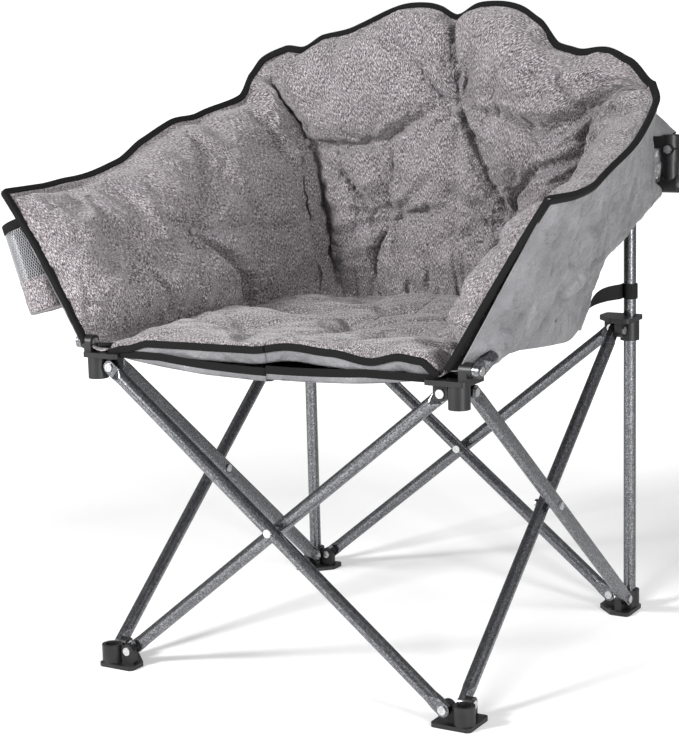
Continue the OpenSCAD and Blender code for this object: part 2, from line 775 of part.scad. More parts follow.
// Cup pocket: an open cloth cup whose rim hangs on the outside of the left wing
pocket_shares = [0.965, 0.79];
pocket_gap = 3 * soft_gap;
pocket_hold = outer_at(-pocket_shares[0], pocket_shares[1]);
pocket_mid = pocket_hold
    - [pocket_r * cos(pocket_lean) + pocket_gap, 0, pocket_r * sin(pocket_lean)];
module cup_pocket() {
    color(lining)
        translate(pocket_mid)
            rotate([0, -pocket_lean, 0])
                translate([0, 0, -pocket_h])
                    difference() {
                        cylinder(r = pocket_r, h = pocket_h);
                        translate([0, 0, pocket_t])
                            cylinder(r = pocket_r - pocket_t, h = pocket_h);
                    }
}

// The origin is under the middle of the whole box: the pocket stands out past the left wing,
// and the chair reaches from the pocket or the hub plates to the back of the arch
pocket_out_x = pocket_r * cos(pocket_lean) - pocket_mid[0];
front_reach = max(half_gap + plate_out, pocket_r - pocket_mid[1]);
mid_x = (pocket_out_x - wing_half_w) / 2;
mid_y = (front_reach - arch_y - tube_r) / 2;
module placed() {
    translate([mid_x, mid_y, 0])
        children();
}

placed() foot(0);  // front_left_foot
placed() foot(1);  // front_right_foot
placed() foot(2);  // rear_right_foot
placed() foot(3);  // rear_left_foot
placed() post(2);  // rear_right_post
placed() post(3);  // rear_left_post
placed() outer_bar(0);  // front_outer_bar
placed() inner_bar(0);  // front_inner_bar
placed() outer_bar(1, oval_t, oval_w);  // right_outer_bar
placed() inner_bar(1);  // right_inner_bar
placed() outer_bar(2);  // rear_outer_bar
placed() inner_bar(2);  // rear_inner_bar
placed() outer_bar(3);  // left_outer_bar
placed() inner_bar(3, oval_t, oval_w);  // left_inner_bar
placed() front_hub(0, -1);  // front_left_hub
placed() front_hub(1, 1);  // front_right_hub
placed() slide_hub(2);  // rear_right_slide_hub
placed() slide_hub(3);  // rear_left_slide_hub
placed() cross_rivet(0);  // front_cross_rivet
placed() cross_rivet(1, oval_t, tube_d);  // right_cross_rivet
placed() cross_rivet(2);  // rear_cross_rivet
placed() cross_rivet(3, tube_d, oval_t);  // left_cross_rivet
placed() foot_rivets(0);  // front_left_foot_rivets
placed() foot_rivets(1);  // front_right_foot_rivets
placed() foot_rivets(2);  // rear_right_foot_rivets
placed() foot_rivets(3);  // rear_left_foot_rivets
placed() hub_rivets(0);  // front_left_hub_rivets
placed() hub_rivets(1);  // front_right_hub_rivets
placed() hub_rivets(2);  // rear_right_hub_rivets
placed() hub_rivets(3);  // rear_left_hub_rivets
placed() knuckle(1);  // right_knuckle
placed() knuckle(-1);  // left_knuckle
placed() knuckle_rivets(1);  // right_knuckle_rivets
placed() knuckle_rivets(-1);  // left_knuckle_rivets
placed() front_arm_tube(1);  // right_front_arm_tube
placed() front_arm_tube(-1);  // left_front_arm_tube
placed() rear_arm_tube(1);  // right_rear_arm_tube
placed() rear_arm_tube(-1);  // left_rear_arm_tube
placed() arm_pin(1);  // right_arm_pin
placed() arm_pin(-1);  // left_arm_pin
placed() arch_tube(1);  // right_arch_tube
placed() arch_tube(-1);  // left_arch_tube
placed() post_strap(1);  // right_post_strap
placed() post_strap(-1);  // left_post_strap
placed() corner_tab(1);  // right_corner_tab
placed() corner_tab(-1);  // left_corner_tab
placed() wing(1);  // right_wing
placed() wing(-1);  // left_wing
placed() back_pad();
placed() seat_pad(1);  // right_seat_pad
placed() seat_pad(-1);  // left_seat_pad
placed() seat_sling(1);  // right_seat_sling
placed() seat_sling(-1);  // left_seat_sling
placed() cup_pocket();
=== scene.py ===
# %% [markdown]
# # A folding club chair, dressed for the studio
# The steel frame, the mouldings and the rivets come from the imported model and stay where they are.
# This lesson makes what a sewing room adds: padding, tufts, edge binding, lining, sleeves, the cup
# pocket and the webbing, and then the finishes, the light and the camera.

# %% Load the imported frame
import json
import math

import bmesh
import bpy
import numpy as np
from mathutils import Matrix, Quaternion, Vector, noise


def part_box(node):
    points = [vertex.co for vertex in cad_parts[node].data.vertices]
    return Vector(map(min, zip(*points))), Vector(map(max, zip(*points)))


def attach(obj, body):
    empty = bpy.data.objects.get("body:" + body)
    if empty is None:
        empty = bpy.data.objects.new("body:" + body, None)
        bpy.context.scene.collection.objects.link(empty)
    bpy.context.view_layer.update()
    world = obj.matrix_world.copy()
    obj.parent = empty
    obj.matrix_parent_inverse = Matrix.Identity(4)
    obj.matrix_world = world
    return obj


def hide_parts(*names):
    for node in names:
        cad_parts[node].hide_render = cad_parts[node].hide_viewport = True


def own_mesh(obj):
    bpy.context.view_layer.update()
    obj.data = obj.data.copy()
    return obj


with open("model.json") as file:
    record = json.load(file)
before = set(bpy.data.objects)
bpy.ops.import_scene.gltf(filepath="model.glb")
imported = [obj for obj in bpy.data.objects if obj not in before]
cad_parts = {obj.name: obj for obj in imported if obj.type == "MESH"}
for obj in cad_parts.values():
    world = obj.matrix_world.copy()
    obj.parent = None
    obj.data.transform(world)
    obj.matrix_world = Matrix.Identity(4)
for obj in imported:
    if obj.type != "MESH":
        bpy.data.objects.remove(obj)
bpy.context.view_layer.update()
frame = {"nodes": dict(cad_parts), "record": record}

# %% [markdown]
# Sizes below are millimetres from the middle of the frame, because that is how the chair is
# drawn. The model's own origin lies a little aside, since a cup pocket hangs on one side only. So
# the middle is read from the two rear posts, and one function takes every point there.

# %% Millimetres from the middle of the frame
MM = 0.001


def middle(node):
    low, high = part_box(node)
    return (low + high) / 2


left_post, right_post = middle("rear_left_post"), middle("rear_right_post")
half_gap = (right_post.x - left_post.x) / 2 / MM
centre = np.array([(left_post.x + right_post.x) / 2, left_post.y - half_gap * MM, 0.0])


def placed(points):
    return np.asarray(points, float) * MM + centre


print("half the distance between the posts:", round(half_gap, 2), "mm")

# %% [markdown]
# ## Finishes
# Every finish is a node tree. One small function adds a node, sets it and links it, so that the
# trees below read like a recipe. Colours are typed as the sRGB hex values a painter would pick, and
# one function turns them to the linear values that the renderer works in.

# %% One function for nodes and one for colours


def linear(hex_colour):
    parts = [int(hex_colour[i:i + 2], 16) / 255 for i in (1, 3, 5)]
    return [c / 12.92 if c <= 0.04045 else ((c + 0.055) / 1.055) ** 2.4 for c in parts] + [1.0]


def add(tree, kind, inputs=None, **settings):
    made = tree.nodes.new(kind)
    for name, value in settings.items():
        setattr(made, name, value)
    for name, value in (inputs or {}).items():
        if isinstance(value, bpy.types.NodeSocket):
            tree.links.new(value, made.inputs[name])
        else:
            made.inputs[name].default_value = value
    return made


def stops(ramp, *pairs):
    """Sets a colour ramp's stops from (place, hex colour) pairs."""
    elements = ramp.color_ramp.elements
    while len(elements) < len(pairs):
        elements.new(0.5)
    for element, (place, colour) in zip(elements, pairs):
        element.position = place
        element.color = linear(colour)
    return ramp.outputs["Color"]


def new_finish(name):
    """An empty node material, its tree and its surface shader."""
    finish = bpy.data.materials.new(name)
    finish.use_nodes = True
    tree = finish.node_tree
    return finish, tree, tree.nodes["Principled BSDF"]


def shade(tree, shader, **inputs):
    """Sets or links the shader's inputs. An underscore stands for a space."""
    for name, value in inputs.items():
        socket = shader.inputs[name.replace("_", " ")]
        if isinstance(value, bpy.types.NodeSocket):
            tree.links.new(value, socket)
        else:
            socket.default_value = value


print("white in linear light:", linear("#ffffff"))

# %% [markdown]
# ### Hammertone powder coat on steel tube
# The tubes are sprayed with a grey powder that flows into small cells with light flecks between
# them. A Voronoi pattern gives the cells and a finer noise the flecks. Real cells are about 1.5 mm
# wide, which is one pixel here, so they are drawn 2 mm wide to show at all.

# %% Steel finish
CELL = 2.0 * MM
steel, tree, shader = new_finish("hammertone_powder_coated_steel")
where = add(tree, "ShaderNodeTexCoord").outputs["Object"]
cells = add(tree, "ShaderNodeTexVoronoi", {"Vector": where, "Scale": 1 / CELL},
            feature="SMOOTH_F1")
flecks = add(tree, "ShaderNodeTexNoise", {"Vector": where, "Scale": 1 / CELL, "Detail": 3.0})
speckle = add(tree, "ShaderNodeMix", {0: 0.55, 6: cells.outputs["Distance"],
                                      7: flecks.outputs["Fac"]}, data_type="RGBA")
tone = stops(add(tree, "ShaderNodeValToRGB", {"Fac": speckle.outputs[2]}),
             (0.30, "#505154"), (0.48, "#7a7b7e"), (0.66, "#a8a9ac"))
bump = add(tree, "ShaderNodeBump", {"Height": speckle.outputs[2], "Strength": 0.35,
                                    "Distance": 0.2 * MM})
shade(tree, shader, Base_Color=tone, Metallic=1.0, Roughness=0.27,
      Normal=bump.outputs["Normal"])
print("steel cells:", CELL / MM, "mm")

# %% [markdown]
# ### Moulded nylon
# Feet, hubs and knuckles are black nylon out of a spark-eroded mould: a satin skin with a fine
# grain. The grain is a bump, and a slow noise makes some places a little shinier, as handling does.

# %% Moulding finish
GRAIN = 0.8 * MM
moulding, tree, shader = new_finish("moulded_black_nylon")
where = add(tree, "ShaderNodeTexCoord").outputs["Object"]
grain = add(tree, "ShaderNodeTexNoise", {"Vector": where, "Scale": 1 / GRAIN, "Detail": 2.0})
rubbed = add(tree, "ShaderNodeTexNoise", {"Vector": where, "Scale": 40.0, "Detail": 4.0})
tone = stops(add(tree, "ShaderNodeValToRGB", {"Fac": rubbed.outputs["Fac"]}),
             (0.35, "#0e0e0f"), (0.7, "#1b1b1d"))
gloss = add(tree, "ShaderNodeMapRange", {"Value": rubbed.outputs["Fac"], "To Min": 0.34,
                                         "To Max": 0.52})
bump = add(tree, "ShaderNodeBump", {"Height": grain.outputs["Fac"], "Strength": 0.35,
                                    "Distance": 0.1 * MM})
shade(tree, shader, Base_Color=tone, Roughness=gloss.outputs["Result"],
      Normal=bump.outputs["Normal"])
print("moulding grain:", GRAIN / MM, "mm")

# %% [markdown]
# ### Zinc plate
# Rivets are plated steel, bright with a faint bloom. A metal keeps the default IOR.

# %% Zinc finish
zinc, tree, shader = new_finish("zinc_plated_steel")
where = add(tree, "ShaderNodeTexCoord").outputs["Object"]
bloom = add(tree, "ShaderNodeTexNoise", {"Vector": where, "Scale": 350.0, "Detail": 3.0})
tone = stops(add(tree, "ShaderNodeValToRGB", {"Fac": bloom.outputs["Fac"]}),
             (0.3, "#b9babc"), (0.7, "#e4e4e5"))
gloss = add(tree, "ShaderNodeMapRange", {"Value": bloom.outputs["Fac"], "To Min": 0.2,
                                         "To Max": 0.38})
shade(tree, shader, Base_Color=tone, Metallic=1.0, Roughness=gloss.outputs["Result"])
print("zinc roughness from 0.20 to 0.38")

# %% [markdown]
# ### Heathered polyester
# The cover is woven from yarn that mixes dark and light fibres, so it looks grey from afar and
# streaky from near. Two noises are stretched along the two thread directions and mixed. They read
# the piece's own UV map, in metres along the cloth, so the streaks follow every fold. Real threads
# are 0.4 mm, finer than a pixel, so a streak is drawn 1.15 mm wide and about four times as long.
# Under the weave, a broad bump adds the soft dents of a cover that has been packed and unpacked.

# %% Cloth finish
THREAD = 1.15 * MM
WARP, WEFT_WAY = (1.0, 0.24, 1.0), (0.3, 1.0, 1.0)
DENT_SCALE = 30.0
DENT_DEPTH = 14.0


def heathered(name, dark, mid, light, bump_depth=0.35):
    finish, tree, shader = new_finish(name)
    cloth_map = add(tree, "ShaderNodeUVMap", uv_map="weave").outputs["UV"]
    streaks = []
    for stretch in (WARP, WEFT_WAY):
        turned = add(tree, "ShaderNodeMapping", {"Vector": cloth_map, "Scale": stretch})
        streaks.append(add(tree, "ShaderNodeTexNoise", {
            "Vector": turned.outputs["Vector"], "Scale": 1 / THREAD, "Detail": 1.0,
            "Roughness": 0.5}).outputs["Fac"])
    weave = add(tree, "ShaderNodeMix", {0: 0.36, 6: streaks[0], 7: streaks[1]},
                data_type="RGBA").outputs[2]
    patches = add(tree, "ShaderNodeTexNoise", {"Vector": cloth_map, "Scale": 28.0, "Detail": 4.0})
    drift = add(tree, "ShaderNodeMix", {0: 0.08, 6: weave, 7: patches.outputs["Fac"]},
                data_type="RGBA").outputs[2]
    tone = stops(add(tree, "ShaderNodeValToRGB", {"Fac": drift}),
                 (0.39, dark), (0.50, mid), (0.61, light))
    crumple = add(tree, "ShaderNodeTexNoise", {
        "Vector": cloth_map, "Scale": DENT_SCALE, "Detail": 4.0, "Roughness": 0.55,
        "Distortion": 0.6})
    soft = add(tree, "ShaderNodeBump", {"Height": crumple.outputs["Fac"], "Strength": 0.6,
                                        "Distance": DENT_DEPTH * MM})
    fine = add(tree, "ShaderNodeBump", {"Height": weave, "Strength": 0.6,
                                        "Distance": bump_depth * MM,
                                        "Normal": soft.outputs["Normal"]})
    shade(tree, shader, Base_Color=tone, Roughness=0.92, Sheen_Weight=0.25,
          Sheen_Roughness=0.5, Normal=fine.outputs["Normal"])
    return finish


cloth = heathered("heathered_polyester", "#2c2829", "#686265", "#b5afb2")
print("cloth streaks:", THREAD / MM, "mm")

# %% [markdown]
# ### Coated oxford lining
# The outside is a light grey oxford weave with a thin coat, so it is smoother than the cover and
# shines softly along its folds. A fine checker of two waves gives the basket of the weave. Two
# bumps add what a thin coat does to cloth: broad dents, and sharp ridges from being folded.

# %% Lining finish
lining, tree, shader = new_finish("coated_oxford_lining")
cloth_map = add(tree, "ShaderNodeUVMap", uv_map="weave").outputs["UV"]
WEFT = 1.5 * MM
waves = [add(tree, "ShaderNodeTexWave", {"Vector": cloth_map, "Scale": 0.32 / WEFT},
             bands_direction=way).outputs["Fac"] for way in ("X", "Y")]
basket = add(tree, "ShaderNodeMix", {0: 0.5, 6: waves[0], 7: waves[1]},
             data_type="RGBA").outputs[2]
shadow = add(tree, "ShaderNodeTexNoise", {"Vector": cloth_map, "Scale": 14.0, "Detail": 5.0})
mixed = add(tree, "ShaderNodeMix", {0: 0.25, 6: shadow.outputs["Fac"], 7: basket},
            data_type="RGBA").outputs[2]
tone = stops(add(tree, "ShaderNodeValToRGB", {"Fac": mixed}), (0.3, "#555457"), (0.7, "#807f82"))
crumple = add(tree, "ShaderNodeTexNoise", {"Vector": cloth_map, "Scale": 26.0, "Detail": 5.0},
              noise_type="RIDGED_MULTIFRACTAL")
soft = add(tree, "ShaderNodeBump", {"Height": shadow.outputs["Fac"], "Strength": 1.0,
                                    "Distance": 28.0 * MM})
sharp = add(tree, "ShaderNodeBump", {"Height": crumple.outputs["Fac"], "Strength": 1.0,
                                     "Distance": 9.0 * MM, "Normal": soft.outputs["Normal"]})
fine = add(tree, "ShaderNodeBump", {"Height": basket, "Strength": 0.25, "Distance": 0.15 * MM,
                                    "Normal": sharp.outputs["Normal"]})
shade(tree, shader, Base_Color=tone, Roughness=0.33, Sheen_Weight=0.1,
      Normal=fine.outputs["Normal"])
print("lining weft:", WEFT / MM, "mm")

# %% [markdown]
# ### Webbing and edge tape
# Both are black polypropylene. Webbing has ribs across it, tape has them closer. The ribs are a
# wave along the length, which runs along U in each piece's map.

# %% Webbing and tape finishes


def ribbed(name, dark, light, rib, roughness):
    finish, tree, shader = new_finish(name)
    cloth_map = add(tree, "ShaderNodeUVMap", uv_map="weave").outputs["UV"]
    ribs = add(tree, "ShaderNodeTexWave", {"Vector": cloth_map, "Scale": 0.32 / rib,
                                           "Distortion": 1.5, "Detail": 2.0})
    fuzz = add(tree, "ShaderNodeTexNoise", {"Vector": cloth_map, "Scale": 900.0, "Detail": 2.0})
    mixed = add(tree, "ShaderNodeMix", {0: 0.4, 6: ribs.outputs["Fac"], 7: fuzz.outputs["Fac"]},
                data_type="RGBA").outputs[2]
    tone = stops(add(tree, "ShaderNodeValToRGB", {"Fac": mixed}), (0.2, dark), (0.9, light))
    bump = add(tree, "ShaderNodeBump", {"Height": mixed, "Strength": 0.5, "Distance": 0.4 * MM})
    shade(tree, shader, Base_Color=tone, Roughness=roughness, Specular_IOR_Level=0.25,
          Normal=bump.outputs["Normal"])
    return finish


webbing = ribbed("black_webbing", "#070707", "#202022", 2.2 * MM, 0.8)
tape_finish = ribbed("black_edge_tape", "#040404", "#101011", 1.8 * MM, 0.9)
thread = ribbed("sewing_thread", "#1b1b1c", "#38383a", 0.8 * MM, 0.7)
net_finish = ribbed("polyester_net", "#77787b", "#d0d0d3", 1.2 * MM, 0.6)
# The buttons get a lighter copy of the cover's cloth: a painted highlight for the light their domes
# catch.
lit_button_finish = heathered("covered_button", "#5a5859", "#858183", "#b3afb1", 0.2)
print("ribbed finishes:", webbing.name, tape_finish.name, thread.name, net_finish.name)

# %% [markdown]
# ### Finishes for the carried-over parts
# A CAD part keeps its shape and gets its finish through its material slot.

# %% Give the CAD nodes their finishes
finish_of_slot = {"steel": steel, "moulding": moulding, "zinc": zinc, "cloth": cloth,
                  "lining": lining, "webbing": webbing}
for part in frame["record"]["subparts"]:
    for slot in frame["nodes"][part["node"]].material_slots:
        slot.material = finish_of_slot[part["material_slot"]]

# %% [markdown]
# ## The cover's shape
# A sewn cover like this is one long strip that runs round the sitter: right wing, back, left wing.
# A place on it is (s, v): s runs from -1 at the left wing's front edge over 0 in the middle of the
# back to 1, and v from 0 at the seat to 1 at the top edge. Three rows of stations give the outside:
# the lower edge, the middle and the rim. A smooth curve goes through each row.

# %% Stations of the cover
SIDES = ((1, "right"), (-1, "left"))
WING_HALF_W = 434.0
BACK_TOP = 925.0
WING_TOP = 700.0
LOW_Z = 445.0
FRONT_LOW_Z = 478.0
CLIMB = (0.55, 0.85)
# At the rear corners the lower edge is pulled up: (mm, place as a share of the row, width)
CORNER_LIFT = (14.0, 0.52, 0.06)
RIM = [(0, 1.012, 1), (0.11, 1.006, 1.013), (0.24, 0.985, 1.004), (0.38, 0.955, 0.972),
       (0.51, 0.93, 0.949), (0.66, 0.905, 0.938), (0.77, 0.85, 0.914), (0.82, 0.71, 0.876),
       (0.872, 0.42, 0.846), (0.905, 0.13, 0.815), (0.922, -0.16, 0.785), (0.95, -0.44, 0.763),
       (0.982, -0.74, 0.758), (1, -1.04, 0.758)]
MIDDLE = [(0, 0.99), (0.1, 0.99), (0.22, 0.975), (0.345, 0.95), (0.455, 0.925), (0.575, 0.885),
          (0.66, 0.82), (0.712, 0.69), (0.725, 0.40), (0.714, 0.12), (0.718, -0.17),
          (0.745, -0.45), (0.778, -0.745), (0.822, -1.035)]
LOWER = [(0, 0.91), (0.095, 0.91), (0.2, 0.905), (0.31, 0.9), (0.41, 0.88), (0.5, 0.835),
         (0.555, 0.75), (0.59, 0.63), (0.625, 0.37), (0.65, 0.1), (0.662, -0.18),
         (0.672, -0.46), (0.675, -0.75), (0.681, -1.03)]
# How far the rim stands above or below the plain curve, as (s, mm): the cover's scallops
SCALLOPS = [(-1, -9), (-0.93, -8), (-0.88, -4), (-0.79, -1), (-0.74, 10), (-0.68, 11),
            (-0.62, -2), (-0.54, -7), (-0.505, 12), (-0.46, 17), (-0.40, 15), (-0.36, 6),
            (-0.315, 20), (-0.24, 13), (-0.15, 8), (-0.05, 3), (0, -3), (0.06, 3),
            (0.17, 7), (0.205, 4), (0.25, -17), (0.29, -14), (0.35, -4), (0.4, -11),
            (0.455, -23), (0.49, -17), (0.52, 0), (1, 0)]
# How far each row leans out from the plain curve, as (s, mm)
LEAN_LOW = [(-1, 10), (-0.8, 5), (-0.66, -5), (-0.5, -8), (-0.4, 0), (0.4, 0), (0.5, -10),
            (0.62, -8), (0.8, -4), (1, -20)]
LEAN_MID = [(-1, 12), (-0.8, 6), (-0.68, -10), (-0.52, -22), (-0.42, -6), (-0.3, 0), (0.3, 0),
            (0.42, -6), (0.52, -22), (0.64, -12), (0.8, 0), (1, -11)]
LEAN_RIM = [(-1, 4), (-0.9, 6), (-0.7, 0), (0.5, 0), (0.58, 11), (0.7, 11), (0.83, -2),
            (0.93, -3), (1, -15)]
print("stations in the rim, the middle and the lower row:", len(RIM), len(MIDDLE), len(LOWER))

# %% [markdown]
# Two ways to read a table are enough. One eases from knot to knot, which suits small corrections,
# and one flows through every knot, which suits a seam. The rows themselves get a curve in space,
# and each upright line is a parabola through its three points.

# %% Curves through the stations


def eased(knots, s):
    """Reads a table of (place, value) knots with a soft curve from one knot to the next."""
    places, values = np.array(knots, float).T
    i = np.clip(np.searchsorted(places, s, side="right") - 1, 0, len(places) - 2)
    f = np.clip((s - places[i]) / (places[i + 1] - places[i]), 0, 1)
    return values[i] + (values[i + 1] - values[i]) * f * f * (3 - 2 * f)


def flowing(knots, s):
    """Reads a table of (place, value) knots with a curve that flows through every knot."""
    places, values = np.array(knots, float).T
    slope = np.gradient(values, places)
    i = np.clip(np.searchsorted(places, s, side="right") - 1, 0, len(places) - 2)
    span = places[i + 1] - places[i]
    f = np.clip((s - places[i]) / span, 0, 1)
    start, end = values[i], values[i + 1]
    return (start * (1 + 2 * f) + slope[i] * span * f) * (1 - f) ** 2 \
        + (end * (3 - 2 * f) - slope[i + 1] * span * (1 - f)) * f ** 2


def row_points():
    """The lower, middle and rim rows, as three tables of points in millimetres."""
    n = len(RIM) - 1
    rim = np.array([(x * WING_HALF_W, y * half_gap,
                     z * BACK_TOP if i < n - 3 else WING_TOP + (z - RIM[n][2]) * BACK_TOP)
                    for i, (x, y, z) in enumerate(RIM)])
    share = np.clip((np.arange(n + 1) / n - CLIMB[0]) / (CLIMB[1] - CLIMB[0]), 0, 1)
    low_z = LOW_Z + (FRONT_LOW_Z - LOW_Z) * share
    lift, place, width = CORNER_LIFT
    low_z += lift * np.exp(-((np.arange(n + 1) / n - place) / width) ** 2)
    low = np.column_stack([np.array(LOWER) * (WING_HALF_W, half_gap), low_z])
    mid = np.column_stack([np.array(MIDDLE) * (WING_HALF_W, half_gap), (rim[:, 2] + low_z) / 2])
    return low, mid, rim


ROWS = row_points()


def along(table, a):
    """A smooth curve through a table's points, mirrored at its start."""
    n = len(table) - 1
    padded = np.vstack([table[1] * (-1, 1, 1), table, table[-1]])
    i = np.clip(np.floor(a * n).astype(int), 0, n - 1)
    f = (a * n - i)[..., None]
    p0, p1, p2, p3 = (padded[i + k] for k in range(4))
    return p1 + f * ((p2 - p0) / 2 + f * (p0 - 2.5 * p1 + 2 * p2 - p3 / 2
                                          + f * (1.5 * (p1 - p2) + (p3 - p0) / 2)))


def outside(s, v):
    """Points of the cover's outside."""
    s, v = np.broadcast_arrays(np.asarray(s, float), np.asarray(v, float))
    low, mid, rim = (along(row, np.abs(s)) for row in ROWS)
    for row, lean in ((low, LEAN_LOW), (mid, LEAN_MID), (rim, LEAN_RIM)):
        row[..., 0] += eased(lean, s)
    rim[..., 2] += eased(SCALLOPS, s)
    w = v[..., None]
    p = low * (1 - w) * (1 - 2 * w) + mid * 4 * w * (1 - w) + rim * w * (2 * w - 1)
    p[..., 0] *= np.where(s < 0, -1, 1)
    return p


def unit(v):
    return v / np.maximum(np.linalg.norm(v, axis=-1, keepdims=True), 1e-9)


def inward(s, v):
    """The level direction towards the sitter."""
    step = 0.01
    run = outside(np.minimum(1, s + step), v) - outside(np.maximum(-1, s - step), v)
    return unit(np.stack([run[..., 1], -run[..., 0], np.zeros(run.shape[:-1])], -1))


print("rim in the middle of the back:", outside(0.0, 1.0).round(1))

# %% [markdown]
# ## Meshes from grids
# Sewn things are sheets, and a sheet is a grid of points. Each helper below takes grids and gives
# a mesh with a UV map called "weave", which holds metres along the cloth both ways.

# %% Grid helpers


def measured(grid):
    """Metres along a grid's rows and columns, for the weave."""
    across = np.linalg.norm(np.diff(grid, axis=0), axis=-1).mean(axis=1)
    up = np.linalg.norm(np.diff(grid, axis=1), axis=-1)
    u = np.concatenate([[0], np.cumsum(across)])[:, None] + np.zeros(grid.shape[:2])
    w = np.concatenate([np.zeros((len(grid), 1)), np.cumsum(up, axis=1)], axis=1)
    return np.stack([u, w], -1) * MM


def quads(ids):
    return np.stack([ids[:-1, :-1], ids[1:, :-1], ids[1:, 1:], ids[:-1, 1:]], -1).reshape(-1, 4)


def new_piece(name, points, faces, weave, finish):
    """A smooth mesh object at the origin, with a weave map."""
    mesh = bpy.data.meshes.new(name)
    mesh.from_pydata([tuple(p) for p in placed(points)], [], [tuple(map(int, f)) for f in faces])
    corner = np.empty(len(mesh.loops), int)
    mesh.loops.foreach_get("vertex_index", corner)
    layer = mesh.uv_layers.new(name="weave")
    layer.data.foreach_set("uv", np.asarray(weave, float)[corner].ravel())
    mesh.materials.append(finish)
    mesh.shade_smooth()
    piece = bpy.data.objects.new(name, mesh)
    bpy.context.scene.collection.objects.link(piece)
    return piece


def turn_outwards(piece):
    """Makes the faces of a closed mesh point out."""
    shape = bmesh.new()
    shape.from_mesh(piece.data)
    bmesh.ops.recalc_face_normals(shape, faces=shape.faces)
    shape.to_mesh(piece.data)
    shape.free()


def sheet_piece(name, grid, finish, thickness=1.0, flip=False):
    """One layer of cloth, given its thickness by a modifier."""
    n, m = grid.shape[:2]
    faces = quads(np.arange(n * m).reshape(n, m))
    piece = new_piece(name, grid.reshape(-1, 3), faces[:, ::-1] if flip else faces,
                      measured(grid).reshape(-1, 2), finish)
    wall = piece.modifiers.new("thickness", "SOLIDIFY")
    wall.thickness = thickness * MM
    wall.offset = 0
    return piece


def pad_piece(name, front, back, finish):
    """A closed pad between two grids of the same size."""
    n, m = front.shape[:2]
    ids = np.arange(n * m).reshape(n, m)
    edge = np.concatenate([ids[:-1, 0], ids[-1, :-1], ids[:0:-1, -1], ids[0, :0:-1]])
    after = np.roll(edge, -1)
    faces = np.concatenate([quads(ids), quads(ids + n * m)[:, ::-1],
                            np.stack([edge, edge + n * m, after + n * m, after], -1)])
    weave = measured(front).reshape(-1, 2)
    piece = new_piece(name, np.concatenate([front.reshape(-1, 3), back.reshape(-1, 3)]), faces,
                      np.concatenate([weave, weave]), finish)
    turn_outwards(piece)
    return piece


print("grid helpers ready")

# %% [markdown]
# ## Padding
# A padded panel is two layers of cloth sewn at the edges, stuffed with fibre and drawn in by
# buttons. It could be sculpted by hand, but cloth under pressure makes the right folds by itself.
# So each pad starts as a slightly thin shape with its tufts and creases pressed in, its sewn places
# are held, and Blender's cloth blows it up for twenty frames. The cloth also grows a little, which
# is what gathers into small wrinkles along the seams. No point moves further than a cap.

# %% Small random folds


def soft_noise(points, size, seed):
    """Smooth bumps from about -0.7 to 0.7 over a grid of points, each about size wide."""
    flat = np.asarray(points, float).reshape(-1, 3) / size + seed * 7.31
    values = [noise.noise(Vector(p)) for p in flat]
    return np.array(values).reshape(np.asarray(points).shape[:-1])


def lines(points, seed, width=0.1):
    """Thin folds where smooth noise passes through zero, from 0 down to -1."""
    return -np.exp(-(soft_noise(points, 1, seed) / width) ** 2)


def rays(across, up, seed, count=11):
    """Folds that run out from a button and widen, over the level and upright distances to it."""
    # A ray starts 4.5 mm wide, fades out 45 to 120 mm away and leaves the button itself alone
    r, a = np.hypot(across, up), np.arctan2(up, across)
    folds = 0 * r
    for k in range(count):
        way = seed + k * 2 * np.pi / count + 0.3 * np.sin(3 * seed + 5 * k)
        reach = 45 + 75 * abs(math.sin(seed + 2.1 * k))
        aside = np.where(np.cos(a - way) > 0, r * np.sin(a - way), 1e3)
        folds -= np.exp(-(aside / (4.5 + 0.09 * r)) ** 2 - (r / reach) ** 2) \
            * (1 - np.exp(-(r / 11) ** 2))
    return folds


def finer(grid):
    """Twice as many points each way, on a smooth curve through the old ones."""
    for axis in (0, 1):
        old = np.moveaxis(grid, axis, 0)
        wide = np.concatenate([2 * old[:1] - old[1:2], old, 2 * old[-1:] - old[-2:-1]])
        new = np.empty((2 * len(old) - 1,) + old.shape[1:])
        new[::2] = old
        new[1::2] = (9 * (wide[1:-2] + wide[2:-1]) - wide[:-3] - wide[3:]) / 16
        grid = np.moveaxis(new, 0, axis)
    return grid


print("a fold's deepest point:", lines(np.zeros((1, 3)), 0).round(2))

# %% [markdown]
# The next function is the filling. It holds the sewn points, runs the cloth with a pressure inside
# and no gravity, and then takes the cloth off again, so that a plain mesh is left. tanh keeps every
# move under the cap without a hard stop, which would show as a crease.

# %% Let the cloth puff up
PRESSURE = 4.0
FRAMES = 20
SOFT_HOLD = 0.75


